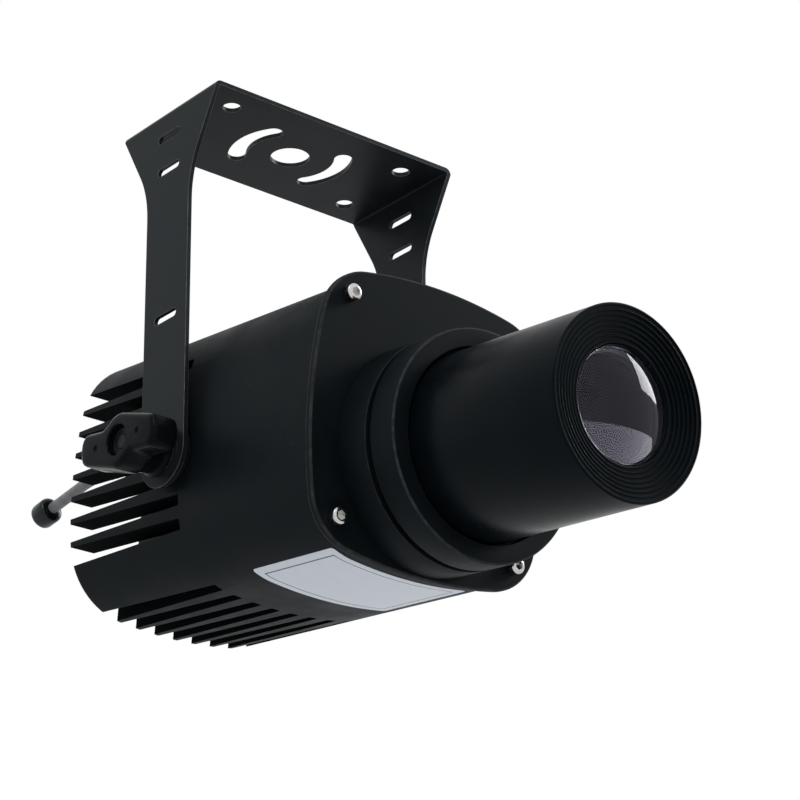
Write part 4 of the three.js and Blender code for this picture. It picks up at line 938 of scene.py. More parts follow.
def black_finish(name, key, base, worn):
    """A black finish with fine grain, lighter edges (wear and painted highlight) and a few specks of lint.
    """
    finish = FINISHES[key]
    made, tree, shader, place = start_material(name)
    grained = place_group(tree, "Fine Grain", place, Grain=finish.grain)
    faded = blend(tree, grained.outputs["Variation"], base, [channel * FADE_SHARE for channel in base])
    mark = tree.nodes.new("ShaderNodeAttribute")
    mark.attribute_name = EDGE_MARK
    edges = place_group(
        tree, "Edge Wear And Highlight", place, Edge=mark.outputs["Fac"], Finish=faded, Worn=worn, Amount=finish.wear)
    specks = place_group(
        tree, "Dust Specks", place, Finish=edges.outputs["Color"], Dust=settings("colours").dust,
        Amount=SPECK_AMOUNT)
    tree.links.new(specks.outputs["Color"], shader.inputs["Base Color"])
    roughness_from(tree, shader, grained.outputs["Variation"], *finish.roughness)
    set_sockets(shader, Specular_IOR_Level=finish.shine, Specular_Tint=(*COOL_SHEEN, 1.0))
    bump(tree, shader, grained.outputs["Height"], finish.height)
    return made


def make_casting():
    colours = settings("colours")
    return black_finish("Textured Casting Paint", "casting", colours.casting, colours.worn_casting_and_highlight)


def make_casting_painted_shade():
    colours = settings("colours")
    # The casting darkened inside the cavity and slots: painted shade
    base = [channel * PAINTED_SHADE_SHARE for channel in colours.casting]
    return black_finish("Casting Inside Painted Shade", "sheltered casting", base, colours.worn_casting_and_highlight)


def make_sheet_paint():
    colours = settings("colours")
    return black_finish("Satin Sheet Paint", "sheet", colours.sheet, colours.worn_sheet_and_highlight)


def make_anodised():
    colours = settings("colours")
    return black_finish("Black Anodised", "anodised", colours.anodised, colours.worn_casting_and_highlight)


def make_moulding():
    colours = settings("colours")
    return black_finish("Black Moulding", "moulding", colours.moulding, colours.worn_plastic)


def make_blackened_steel():
    colours = settings("colours")
    return black_finish("Blackened Steel", "blackened", colours.moulding, colours.worn_casting_and_highlight)


def make_glossy_rubber():
    colours = settings("colours")
    return black_finish("Glossy Black Rubber", "glossy rubber", colours.moulding, colours.worn_plastic)


def make_matt_rubber():
    colours = settings("colours")
    return black_finish("Matt Black Rubber", "matt rubber", colours.moulding, colours.worn_plastic)


def make_fibre():
    colours = settings("colours")
    return black_finish("Pressed Fibre", "fibre", colours.casting, colours.worn_plastic)


def bare_metal(name, key, base):
    """Bare metal with a fine tool texture and slow changes of sheen."""
    finish = FINISHES[key]
    made, tree, shader, place = start_material(name)
    grained = place_group(tree, "Fine Grain", place, Grain=finish.grain, Drift=METAL_DRIFT)
    dull = [channel * DULL_SHARE for channel in base]
    tree.links.new(blend(tree, grained.outputs["Variation"], base, dull), shader.inputs["Base Color"])
    roughness_from(tree, shader, grained.outputs["Variation"], *finish.roughness)
    set_sockets(shader, Metallic=1.0)
    bump(tree, shader, grained.outputs["Height"], finish.height)
    return made


def make_bright_steel():
    return bare_metal("Bright Steel", "steel", settings("colours").steel)


def make_bare_aluminium():
    return bare_metal("Machined Aluminium", "aluminium", settings("colours").aluminium)


def make_driver_tin():
    return bare_metal("Pressed Driver Tin", "pressed tin", settings("colours").aluminium)


def clear_glass(name, tints, sheen):
    """Clear polished glass; its coating tints what it reflects."""
    made, tree, shader, place = start_material(name)
    grained = place_group(tree, "Fine Grain", place, Grain=GLASS_GRAIN, Drift=GLASS_DRIFT)
    tree.links.new(blend(tree, grained.outputs["Variation"], *tints), shader.inputs["Base Color"])
    set_sockets(
        shader, Roughness=0.0, Transmission_Weight=1.0, IOR=GLASS_IOR, Specular_Tint=(*sheen, 1.0))
    return made


def make_coated_glass():
    return clear_glass("Coated Glass", COATED_TINTS, COATED_SHEEN)


def make_plain_glass():
    return clear_glass("Inner Glass", PLAIN_TINTS, PLAIN_SHEEN)


def make_gobo_glass():
    """A dark coating with pale rays round the disc's middle."""
    made, tree, shader, place = start_material("Gobo Glass")
    from_middle = centred(tree, place, lens_place().to_translation(), settings("head").tilt)
    parts = tree.nodes.new("ShaderNodeSeparateXYZ")
    tree.links.new(from_middle, parts.inputs["Vector"])
    bearing = calculate(tree, "ARCTAN2", parts.outputs["Z"], parts.outputs["X"])
    wave = calculate(tree, "SINE", calculate(tree, "MULTIPLY", bearing, GOBO_RAY_COUNT))
    ray = calculate(tree, "GREATER_THAN", wave, GOBO_RAY_THRESHOLD)
    tree.links.new(blend(tree, ray, GOBO_COATING, GOBO_RAYS), shader.inputs["Base Color"])
    set_sockets(shader, Roughness=GOBO_ROUGHNESS, IOR=GOBO_IOR)
    return made


def make_led_board():
    """A pale board with a yellow phosphor dome in its middle."""
    made, tree, shader, place = start_material("Light Source")
    low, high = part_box("led_module")
    from_middle = centred(tree, place, [(a + b) / 2 for a, b in zip(low, high)], 0)
    far = tree.nodes.new("ShaderNodeVectorMath")
    far.operation = "LENGTH"
    tree.links.new(from_middle, far.inputs[0])
    ring = between(tree, far.outputs["Value"], LED_DOME_RADIUS, LED_DOME_RADIUS + FIT)
    texture = place_group(tree, "Fine Grain", place, Grain=BOARD_GRAIN)
    board = blend(tree, texture.outputs["Variation"], *BOARD_COLOURS)
    tree.links.new(blend(tree, ring, PHOSPHOR, board), shader.inputs["Base Color"])
    roughness_from(tree, shader, texture.outputs["Variation"], *BOARD_ROUGHNESS)
    return made


def rectangle_mask(tree, across, along, inset):
    """One inside the rectangle that lies an inset within the label's edges, nought outside it."""
    mask = []
    for share, size in ((across, LABEL_WIDTH), (along, LABEL_LENGTH)):
        from_middle = calculate(tree, "ABSOLUTE", calculate(tree, "SUBTRACT", share, 0.5))
        mask.append(calculate(tree, "LESS_THAN", from_middle, 0.5 - inset / size))
    return calculate(tree, "MULTIPLY", *mask)


def make_label_film():
    """Pale blank film with a thin dark frame line."""
    colours = settings("colours")
    made, tree, shader, place = start_material("Label Film")
    map_node = tree.nodes.new("ShaderNodeUVMap")
    map_node.uv_map = "Film"
    parts = tree.nodes.new("ShaderNodeSeparateXYZ")
    tree.links.new(map_node.outputs["UV"], parts.inputs["Vector"])
    across, along = parts.outputs["X"], parts.outputs["Y"]
    outside = rectangle_mask(tree, across, along, LABEL_LINE_INSET)
    inside = rectangle_mask(tree, across, along, LABEL_LINE_INSET + LABEL_LINE_WIDTH)
    frame_line = calculate(tree, "SUBTRACT", outside, inside)
    finish = FINISHES["film"]
    texture = place_group(tree, "Fine Grain", place, Grain=finish.grain, Drift=FILM_DRIFT)
    paler = [min(1.0, channel * FILM_PALE_SHARE) for channel in colours.label]
    film = blend(tree, texture.outputs["Variation"], colours.label, paler)
    tree.links.new(blend(tree, frame_line, film, colours.ink), shader.inputs["Base Color"])
    roughness_from(tree, shader, texture.outputs["Variation"], *finish.roughness)
    bump(tree, shader, texture.outputs["Height"], finish.height)
    return made


def make_lead_sheath():
    """Grey sheath with faint scuffs."""
    colours = settings("colours")
    made, tree, shader, place = start_material("Lead Sheath")
    finish = FINISHES["sheath"]
    texture = place_group(tree, "Fine Grain", place, Grain=finish.grain, Drift=SHEATH_DRIFT)
    darker = [channel * SCUFF_SHARE for channel in colours.lead]
    scuffed = blend(tree, texture.outputs["Variation"], colours.lead, darker)
    specks = place_group(
        tree, "Dust Specks", place, Finish=scuffed, Dust=colours.dust, Amount=SPECK_AMOUNT)
    tree.links.new(specks.outputs["Color"], shader.inputs["Base Color"])
    roughness_from(tree, shader, texture.outputs["Variation"], *finish.roughness)
    bump(tree, shader, texture.outputs["Height"], finish.height)
    return made


MATERIALS = {
    "casting": make_casting,
    "casting_painted_shade": make_casting_painted_shade,
    "sheet_paint": make_sheet_paint,
    "anodised": make_anodised,
    "moulding": make_moulding,
    "blackened_steel": make_blackened_steel,
    "glossy_rubber": make_glossy_rubber,
    "matt_rubber": make_matt_rubber,
    "bright_steel": make_bright_steel,
    "bare_aluminium": make_bare_aluminium,
    "driver_tin": make_driver_tin,
    "coated_glass": make_coated_glass,
    "plain_glass": make_plain_glass,
    "gobo_glass": make_gobo_glass,
    "fibre": make_fibre,
    "led_board": make_led_board,
    "label_film": make_label_film,
    "lead_sheath": make_lead_sheath,
}
built_materials = {}


def material(finish):
    if finish not in built_materials:
        built_materials[finish] = MATERIALS[finish]()
    return built_materials[finish]


# Pieces


def lead_curve(points):
    """A round cord along a smooth line through points."""
    data = bpy.data.curves.new("power_lead_sheath", "CURVE")
    data.dimensions = "3D"
    data.bevel_depth = LEAD_DIAMETER / 2
    data.bevel_resolution = LEAD_ROUND_STEPS
    data.resolution_u = LEAD_LENGTH_STEPS
    data.use_fill_caps = True
    spline = data.splines.new("BEZIER")
    spline.bezier_points.add(len(points) - 1)
    for knot, point in zip(spline.bezier_points, points):
        knot.co = point
        knot.handle_left_type = "AUTO"
        knot.handle_right_type = "AUTO"
    curve = bpy.data.objects.new("power_lead_sheath", data)
    bpy.context.scene.collection.objects.link(curve)
    return curve


def relief_profile():
    """The strain relief's flange, ribbed taper and bore, as [radius, y] pairs."""
    front = FAN_REAR + FIT + BRACKET_SHEET + FIT
    end = front + RELIEF_LENGTH
    bore = LEAD_DIAMETER / 2 + FIT
    profile = [(bore, front), (RELIEF_FLANGE_RADIUS, front), (RELIEF_FLANGE_RADIUS, front + RELIEF_FLANGE)]
    start = front + RELIEF_FLANGE
    run = (end - start) / (2 * RELIEF_RIBS)
    neck = (RELIEF_FLANGE_RADIUS + RELIEF_TIP_RADIUS) / 2
    for i in range(2 * RELIEF_RIBS):
        share = i / (2 * RELIEF_RIBS)
        radius = neck + (RELIEF_TIP_RADIUS - neck) * share - (RELIEF_RIB_DEPTH if i % 2 else 0)
        profile += [(radius, start + i * run), (radius, start + (i + 1) * run)]
    return profile + [(bore, end)]


def lead_end_profile():
    """The round end's profile, with its far socket."""
    far = LEAD_END_LENGTH
    return [
        (0, 0), (LEAD_END_RADIUS, 0), (LEAD_END_RADIUS, far), (LEAD_END_SOCKET_RADIUS, far),
        (LEAD_END_SOCKET_RADIUS, far - LEAD_END_SOCKET_DEPTH), (0, far - LEAD_END_SOCKET_DEPTH),
    ]


def build_lead():
    place = head_place()
    points = [place @ Vector(point) for point in LEAD_ROUTE]
    cord = lead_curve(points)
    cord.data.materials.append(material("lead_sheath"))
    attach(cord, "head")
    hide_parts("power_lead")
    relief_shape = spun(relief_profile(), MEDIUM_STEPS, place=(LEAD_X, LEAD_Z))
    relief = make_turned(
        "strain_relief_sleeve", relief_shape, place, "matt_rubber", "head", "black_plastic", "strain_relief")
    along = (points[-1] - points[-2]).normalized()
    start = points[-1] + along * FIT
    turn = Matrix.Translation(start) @ Vector((0, 1, 0)).rotation_difference(along).to_matrix().to_4x4()
    end_shape = spun(lead_end_profile(), MEDIUM_STEPS, LEAD_END_ROUND)
    end = make_turned(
        "lead_round_end", end_shape, turn, "glossy_rubber", "head", "black_plastic", "lead_end")


def yoke_front_shape():
    """The plate and its two bent arms seen from the front, as a prism along Y."""
    yoke = settings("yoke")
    outer, inner = yoke.width / 2, yoke.width / 2 - yoke.sheet
    bottom = -yoke.drop - ARM_HALF_WIDTH
    bm = bmesh.new()
    verts = chain(bm, (
        (outer, bottom), (outer, 0), (-outer, 0), (-outer, bottom),
        (-inner, bottom), (-inner, -yoke.sheet), (inner, -yoke.sheet), (inner, bottom)))
    inner_bends = [verts[5], verts[6]]
    round_corners(bm, verts[1:3], yoke.bend_radius, CORNER_STEPS)
    round_corners(bm, inner_bends, yoke.bend_radius - yoke.sheet, CORNER_STEPS)
    return raise_outline(bm, -yoke.depth, yoke.depth, DEPTH_ALONG_Y)


def yoke_side_shape():
    """The arms' outline seen from the side, as a prism along X."""
    yoke = settings("yoke")
    half_depth = yoke.depth / 2
    flare_y = ARM_HALF_WIDTH + ARM_FLARE_RADIUS
    slope_y = flare_y - ARM_FLARE_RADIUS * math.cos(ARM_FLARE_ANGLE)
    slope_z = -ARM_CORNER_DROP - (half_depth - slope_y) / math.tan(ARM_FLARE_ANGLE)
    flare_z = slope_z - ARM_FLARE_RADIUS * math.sin(ARM_FLARE_ANGLE)
    up = (0, 0, 1)
    bm = bmesh.new()
    side = bm.verts.new((ARM_HALF_WIDTH, flare_z, 0))
    flare_end = turn_verts(bm, [side], (flare_y, flare_z, 0), up, -ARM_FLARE_ANGLE, CORNER_STEPS)[0]
    corner = bm.verts.new((half_depth, -ARM_CORNER_DROP, 0))
    top = bm.verts.new((half_depth, yoke.sheet, 0))
    middle = bm.verts.new((0, yoke.sheet, 0))
    low = bm.verts.new((ARM_HALF_WIDTH, -yoke.drop, 0))
    for pair in ((flare_end, corner), (corner, top), (top, middle), (side, low)):
        bm.edges.new(pair)
    turn_verts(bm, [low], (0, -yoke.drop, 0), up, -math.pi / 2, SMALL_STEPS)
    half = bm.verts[:] + bm.edges[:]
    copy = bmesh.ops.duplicate(bm, geom=half)["geom"]
    verts = [item for item in copy if isinstance(item, bmesh.types.BMVert)]
    bmesh.ops.scale(bm, vec=(-1, 1, 1), verts=verts)
    return raise_outline(bm, -yoke.width, yoke.width, DEPTH_ALONG_X)


def yoke_holes():
    """Every hole in the plate and the arms, as one set of cutters."""
    yoke = settings("yoke")
    below, above = -2 * yoke.sheet, yoke.sheet
    plate = [rod(HANGING_HOLE_RADIUS, below, above, DEPTH_ALONG_Z, steps=MEDIUM_STEPS)]
    for side in (-1, 1):
        middle = 0 if side > 0 else math.pi
        slot = curved_slot(ARC_SLOT_RADIUS, ARC_SLOT_WIDTH, middle, ARC_SLOT_HALF_ANGLE)
        plate.append(raise_outline(slot, below, above, DEPTH_ALONG_Z))
        for end in (-1, 1):
            hole_place = (side * CORNER_HOLE_X, end * CORNER_HOLE_Y)
            plate.append(rod(CORNER_HOLE_RADIUS, below, above, DEPTH_ALONG_Z, hole_place))
    arms = [rod(STUD_RADIUS + FIT, -yoke.width, yoke.width, DEPTH_ALONG_X, (0, -yoke.drop))]
    for drop in ARM_SLOT_DROPS:
        slot = straight_slot(ARM_SLOT_LENGTH, ARM_SLOT_HEIGHT, -drop)
        arms.append(raise_outline(slot, -yoke.width, yoke.width, DEPTH_ALONG_X))
    return merged(plate), merged(arms)


def build_yoke():
    here = Matrix.Identity(4)
    yoke = make("yoke_sheet", yoke_front_shape(), here)
    combine(yoke, yoke_side_shape(), here, "INTERSECT")
    plate_holes, arm_holes = yoke_holes()
    cut(yoke, plate_holes, here)
    cut(yoke, arm_holes, here)
    soften(yoke, settings("yoke").edge_round)
    dress(yoke, "sheet_paint", "yoke", "yoke", "yoke_bracket")


def cooling_slot(height, slot_length):
    """A slot through the right-hand wall, wide at the rear and narrow at its front end."""
    head = settings("head")
    front = head.rear - slot_length
    rear = head.rear + SLOT_PITCH
    end_half = SLOT_END_WIDTH / 2
    growth = (SLOT_REAR_WIDTH / 2 - end_half) / slot_length
    rear_half = end_half + growth * (rear - front)
    bm = bmesh.new()
    verts = chain(bm, (
        (front, height - end_half), (rear, height - rear_half),
        (rear, height + rear_half), (front, height + end_half)))
    round_corners(bm, [verts[0], verts[3]], SLOT_END_ROUND)
    return raise_outline(bm, SLOT_INNER_X, head.half_width + SLOT_PITCH, DEPTH_ALONG_X)


def cooling_slots():
    """Eight slots on each of the four faces; those beside the pivots are shorter."""
    slots = []
    for face in range(4):
        turn = Matrix.Rotation(face * math.pi / 2, 4, "Y")
        for i in range(SLOT_COUNT):
            height = (i - (SLOT_COUNT - 1) / 2) * SLOT_PITCH
            true_height = -height if face == 2 else height
            beside_pivot = abs(true_height + TILT_AXIS_BELOW_MIDDLE) < PIVOT_BOSS_RADIUS
            short = beside_pivot and face % 2 == 0
            slot = cooling_slot(height, PIVOT_SLOT_LENGTH if short else SLOT_LENGTH)
            bmesh.ops.transform(slot, matrix=turn, verts=slot.verts[:])
            slots.append(slot)
    return merged(slots)


def build_housing():
    head = settings("head")
    place = head_place()
    front = head.rear - head.length
    boss_x = head.half_width + PIVOT_BOSS_RISE
    body = raise_outline(housing_outline(), front, head.rear, DEPTH_ALONG_Y)
    housing = make("housing_casting", body, place)
    join(housing, rod(PIVOT_BOSS_RADIUS, -boss_x, boss_x, DEPTH_ALONG_X, steps=MEDIUM_STEPS), pivot_place())
    cavity = raise_outline(cavity_outline(), front - SLOT_PITCH, head.rear + SLOT_PITCH, DEPTH_ALONG_Y)
    # The cavity's and slots' faces take the darker inside finish, painted shade
    cut(housing, cavity, place, PAINTED_SHADE_SLOT)
    cut(housing, cooling_slots(), place, PAINTED_SHADE_SLOT)
    cut(housing, rod(INSERT_RADIUS + FIT, -2 * boss_x, 2 * boss_x, DEPTH_ALONG_X), pivot_place())
    soften(housing, CASTING_ROUND)
    dress(housing, "casting", "head", "housing", "housing", sheltered="casting_painted_shade")


def corner_places(spacing):
    """The four corners of a square, in the order that the screws are numbered."""
    half = spacing / 2
    return ((-half, half), (half, half), (-half, -half), (half, -half))


def screw_shape(seat, shank_end, place, towards=-1):
    """A low domed head on a shank; the head stands on its seat and faces towards."""
    top = seat + towards * SCREW_HEAD_HEIGHT
    edge = top - towards * SCREW_CROWN
    profile = [
        (0, top), (SCREW_SOCKET_RADIUS + SCREW_EDGE_ROUND, top), (SCREW_HEAD_RADIUS, edge),
        (SCREW_HEAD_RADIUS, seat), (SCREW_SHANK_RADIUS, seat), (SCREW_SHANK_RADIUS, shank_end),
        (0, shank_end),
    ]
    return spun(profile, MEDIUM_STEPS, SCREW_EDGE_ROUND / 2, place)


def socket_cutter(top, towards, place):
    """The hexagon socket of a screw."""
    floor = top - towards * SCREW_SOCKET_DEPTH
    outside = top + towards * SCREW_SOCKET_DEPTH
    return rod(SCREW_SOCKET_RADIUS, min(floor, outside), max(floor, outside), DEPTH_ALONG_Y, place, HEXAGON)


def build_screw(name, node, seat, shank_end, place, towards=-1):
    screw = make(name, screw_shape(seat, shank_end, place, towards), head_place())
    cut(screw, socket_cutter(seat + towards * SCREW_HEAD_HEIGHT, towards, place), head_place())
    weld(screw)
    shade(screw)
    dress(screw, "bright_steel", "head", "steel", node)


def build_cover():
    head = settings("head")
    place = head_place()
    rear = head.rear - head.length - FIT
    front = cover_front()
    outline = bulged_outline(head.half_width + COVER_OVERHANG, head.side_radius, COVER_CORNER_RADIUS)
    cover = make("cover_plate", raise_outline(outline, front, rear, DEPTH_ALONG_Y), place)
    holes = [rod(SCREW_SHANK_RADIUS + FIT, front - FIT, rear + FIT, DEPTH_ALONG_Y, spot)
             for spot in corner_places(COVER_SCREW_SPACING)]
    lens_axis = (0, -LENS_AXIS_BELOW_MIDDLE)
    light = rod(LIGHT_HOLE_RADIUS, front - FIT, rear + FIT, DEPTH_ALONG_Y, lens_axis, MEDIUM_STEPS)
    cut(cover, merged([*holes, light]), place)
    soften(cover, COVER_EDGE_ROUND, EDGE_STEPS)
    dress(cover, "casting", "head", "housing", "front_cover")
    for i, spot in enumerate(corner_places(COVER_SCREW_SPACING), start=1):
        build_screw(f"front_screw_{i}", f"cover_screw_{i}", front - FIT, front + COVER_SCREW_LENGTH, spot)


def mount_front():
    """Where the lens mount ends in front of the cover."""
    return cover_front() - FIT - MOUNT_LENGTH


def build_mount():
    lens = settings("lens")
    rear = cover_front() - FIT
    front = mount_front()
    floor = rear - MOUNT_FLOOR
    pocket_floor = floor + GOBO_POCKET_DEPTH
    pocket = GOBO_RADIUS + FIT
    mount = make_turned("lens_mount_ring", spun([
        (LIGHT_HOLE_RADIUS, rear), (lens.mount_radius, rear), (lens.mount_radius, front),
        (MOUNT_THREAD_RADIUS, front), (MOUNT_THREAD_RADIUS, floor), (pocket, floor),
        (pocket, pocket_floor), (LIGHT_HOLE_RADIUS, pocket_floor)]),
        lens_place(), "casting", "head", "housing", "lens_mount")
    # The rounded edges are marked for the lighter edge colour: wear and painted highlight
    mark_narrow_faces(mount, TURNED_EDGE_ROUND)


def build_collar():
    """The collar that guides the barrel, with a neck that goes into the mount."""
    lens = settings("lens")
    collar_rear = mount_front() - MOUNT_GROOVE
    collar_front = collar_rear - COLLAR_LENGTH
    neck_rear = collar_rear + COLLAR_NECK_LENGTH
    guide_front = neck_rear - COLLAR_GUIDE_LENGTH
    guide = lens.barrel_radius + FIT
    mouth = lens.barrel_radius + BARREL_MOUTH_CLEARANCE
    neck = MOUNT_THREAD_RADIUS - FIT
    collar = make_turned("collar_ring", spun([
        (guide, neck_rear), (neck, neck_rear), (neck, collar_rear), (lens.mount_radius, collar_rear),
        (lens.mount_radius, collar_front + COLLAR_EDGE_CHAMFER),
        (lens.mount_radius - COLLAR_EDGE_CHAMFER, collar_front),
        (mouth, collar_front), (mouth, guide_front), (guide, guide_front)]),
        lens_place(), "casting", "head", "housing", "lens_collar")
    # The chamfer is marked for the lighter edge colour: a painted highlight along the rim, with some wear
    mark_narrow_faces(collar, COLLAR_EDGE_CHAMFER)


def front_seat():
    """Where the front lens's rear face rests in the barrel."""
    opening = RIB_CONE_DEPTH - settings("lens").barrel_front
    return opening + FRONT_RETAINER_LENGTH + FRONT_LENS_EDGE + 3 * FIT


def rear_seat():
    """Where the rear lens's front face rests in the barrel."""
    lens = settings("lens")
    return lens.barrel_length - lens.barrel_front - lens.barrel_length * REAR_CELL_SHARE


def rib_steps():
    """The ribbed cone of the mouth from its rim in to the lens opening; each rib has a raised lip."""
    lens = settings("lens")
    rim = lens.barrel_radius - BARREL_RIM
    width = (rim - LENS_OPENING_RADIUS) / RIB_COUNT
    drop = RIB_CONE_DEPTH / RIB_COUNT
    steps = [(rim, -lens.barrel_front)]
    for i in range(RIB_COUNT):
        y = (i + 1) * drop - lens.barrel_front
        outer = rim - i * width
        lip = (outer - width + RIB_LIP, y - RIB_LIP)
        steps += [(outer, y), (outer - width + 2 * RIB_LIP, y), lip, (outer - width, y - RIB_LIP)]
    return steps


def barrel_bore():
    """The barrel's inner radius."""
    return settings("lens").barrel_radius - BARREL_WALL


def build_barrel():
    lens = settings("lens")
    rear = lens.barrel_length - lens.barrel_front
    bore = barrel_bore()
    cell = FRONT_LENS_RADIUS + FIT
    front_lip = cell - CELL_LEDGE
    rear_lip = bore - CELL_LEDGE - CELL_LEDGE / 2
    seat, far_seat = front_seat(), rear_seat()
    opening = RIB_CONE_DEPTH - lens.barrel_front
    make_turned("barrel_tube", spun([
        (bore, rear), (lens.barrel_radius, rear),
        (lens.barrel_radius, COLLAR_EDGE_CHAMFER - lens.barrel_front),
        (lens.barrel_radius - COLLAR_EDGE_CHAMFER, -lens.barrel_front),
        *rib_steps(),
        (cell, opening), (cell, seat), (front_lip, seat), (front_lip, seat + CELL_LEDGE),
        (bore, seat + CELL_LEDGE), (bore, far_seat - CELL_LEDGE), (rear_lip, far_seat - CELL_LEDGE),
        (rear_lip, far_seat), (bore, far_seat)], rounding=TURNED_EDGE_ROUND / 2),
        lens_place(), "anodised", "focus_barrel", "barrel", "lens_barrel")


def build_front_ring():
    """The thin ring that holds the front lens."""
    ring_rear = front_seat() - FIT - FRONT_LENS_EDGE - FIT
    ring_front = ring_rear - FRONT_RETAINER_LENGTH
    ring_inner = FRONT_LENS_RADIUS - FRONT_RETAINER_WIDTH
    make_turned("front_bezel", spun([
        (ring_inner, ring_rear), (FRONT_LENS_RADIUS, ring_rear), (FRONT_LENS_RADIUS, ring_front),
        (ring_inner + FRONT_RETAINER_WIDTH / 2, ring_front),
        (ring_inner, ring_front + FRONT_RETAINER_LENGTH / 2)]),
        lens_place(), "anodised", "focus_barrel", "barrel", "front_retainer")


def build_rear_ring():
    """The ring that holds the rear lens."""
    start = rear_seat() + FIT + REAR_LENS_EDGE + FIT
    end = start + REAR_RETAINER_LENGTH
    outer = barrel_bore() - FIT
    inner = outer - REAR_RETAINER_WIDTH
    make_turned(
        "rear_bezel", spun([(inner, start), (outer, start), (outer, end), (inner, end)]),
        lens_place(), "anodised", "focus_barrel", "barrel", "rear_retainer")


def dome(bm, clear, face, bulge, outwards):
    """One bulging face of a lens, from its middle out to its flat rim; gives back the point at the rim."""
    radius = (clear * clear + bulge * bulge) / (2 * bulge)
    sweep = math.asin(clear / radius)
    apex = bm.verts.new((0, face + outwards * bulge, 0))
    centre = (0, face + outwards * (bulge - radius), 0)
    return turn_verts(bm, [apex], centre, (0, 0, 1), -outwards * sweep, SIDE_STEPS)[0]


def lens_shape(radius, front, rear, front_bulge, rear_bulge, rim, shoulder=0):
    """A lens with a straight edge, a bulging front and a bulging or a flat rear.

    The front can stand on a shoulder.
    """
    bm = bmesh.new()
    front_edge = dome(bm, radius - rim, front - shoulder, front_bulge, -1)
    if shoulder:
        foot = bm.verts.new((radius - rim, front, 0))
        bm.edges.new((front_edge, foot))
        front_edge = foot
    if rear_bulge:
        rear_edge = dome(bm, radius - rim, rear, rear_bulge, 1)
    else:
        rear_edge = bm.verts.new((0, rear, 0))
    rim_front = bm.verts.new((radius, front, 0))
    rim_rear = bm.verts.new((radius, rear, 0))
    for pair in ((front_edge, rim_front), (rim_front, rim_rear), (rim_rear, rear_edge)):
        bm.edges.new(pair)
    revolve(bm, ROUND_STEPS)
    tidy_shell(bm)
    return bm


def build_front_lens():
    rear = front_seat() - FIT
    shape = lens_shape(
        FRONT_LENS_RADIUS, rear - FRONT_LENS_EDGE, rear, FRONT_LENS_BULGE, 0, FRONT_LENS_RIM,
        FRONT_LENS_SHOULDER)
    make_turned("front_glass", shape, lens_place(), "coated_glass", "focus_barrel", "glass", "front_lens")


def build_rear_lens():
    start = rear_seat() + FIT
    shape = lens_shape(
        barrel_bore() - FIT, start, start + REAR_LENS_EDGE, REAR_LENS_BULGE, REAR_LENS_BULGE, LENS_RIM)
    make_turned("rear_glass", shape, lens_place(), "plain_glass", "focus_barrel", "glass", "rear_lens")


def knob_depths():
    """Where the knob's hub, wings and outer face lie, out from the middle."""
    washer = settings("yoke").width / 2 + FIT
    hub = washer + KNOB_WASHER_THICKNESS + FIT
    wing = hub + KNOB_HUB_LENGTH
    return hub, wing, wing + KNOB_WING_DEPTH


def knob_wings(side):
    """The two-winged S shape, its outline rounded and its rims softened."""
    wing, face = knob_depths()[1:]
    half = [(y * KNOB_WING_REACH, z * KNOB_WING_REACH) for y, z in KNOB_OUTLINE_SHARES]
    outline = half + [(-y, -z) for y, z in half]
    bm = bmesh.new()
    verts = chain(bm, outline)
    round_corners(bm, verts, KNOB_CORNER_ROUND, EDGE_STEPS)
    raise_outline(bm, wing, face, DEPTH_ALONG_X)
    rims = [edge for edge in bm.edges if abs(edge.verts[0].co.x - edge.verts[1].co.x) < WELD]
    bmesh.ops.bevel(
        bm, geom=rims, offset=KNOB_EDGE_ROUND, offset_type="OFFSET", segments=KNOB_RIM_STEPS, profile=0.5,
        affect="EDGES", clamp_overlap=True, material=-1)
    turn = Matrix.Rotation(-side * KNOB_WING_ANGLE, 3, "X")
    bmesh.ops.rotate(bm, cent=(0, 0, 0), matrix=turn, verts=bm.verts[:])
    return bm


def along_x(bm):
    """Turns a shape spun round Y to lie round X, with its far end outwards."""
    bmesh.ops.rotate(bm, cent=(0, 0, 0), matrix=Matrix.Rotation(-math.pi / 2, 3, "Z"), verts=bm.verts[:])
    return bm


def facing(bm, side):
    """Mirrors a shape built on the right-hand side to the side that it is for."""
    if side < 0:
        bmesh.ops.scale(bm, vec=(-1, 1, 1), verts=bm.verts[:])
        bmesh.ops.recalc_face_normals(bm, faces=bm.faces[:])
    return bm


def knob_foot():
    """The waisted hub between the arm and the wings."""
    hub, wing = knob_depths()[:2]
    return along_x(spun([
        (0, hub), (KNOB_HUB_RADIUS, hub), (KNOB_HUB_RADIUS, hub + KNOB_HUB_FLARE),
        (KNOB_HUB_RADIUS - KNOB_HUB_FLARE, hub + 2 * KNOB_HUB_FLARE),
        (KNOB_HUB_RADIUS, wing + KNOB_EDGE_ROUND), (0, wing + KNOB_EDGE_ROUND)], MEDIUM_STEPS))


def knob_recess():
    """The round recess in the knob's face, with a flared rim."""
    face = knob_depths()[-1]
    floor = face - KNOB_RECESS_DEPTH
    return along_x(spun([
        (0, floor), (KNOB_RECESS_RADIUS, floor), (KNOB_RECESS_RADIUS, face - KNOB_RECESS_ROUND),
        (KNOB_RECESS_RADIUS + 2 * KNOB_RECESS_ROUND, face + KNOB_RECESS_ROUND),
        (0, face + KNOB_RECESS_ROUND)], MEDIUM_STEPS))


def knob_dimples(side):
    """A shallow round dimple in each wing."""
    face = knob_depths()[-1]
    turn = Matrix.Rotation(-side * KNOB_WING_ANGLE, 3, "X")
    rise = Vector((KNOB_DIMPLE_RADIUS - KNOB_DIMPLE_DEPTH, 0, 0))
    dimples = []
    for end in (-1, 1):
        spot = turn @ Vector((face, end * KNOB_DIMPLE_REACH, 0))
        ball = bmesh.new()
        bmesh.ops.create_uvsphere(
            ball, u_segments=SMALL_STEPS, v_segments=SMALL_STEPS // 2, radius=KNOB_DIMPLE_RADIUS,
            matrix=Matrix.Translation(spot + rise))
        dimples.append(ball)
    return merged(dimples)


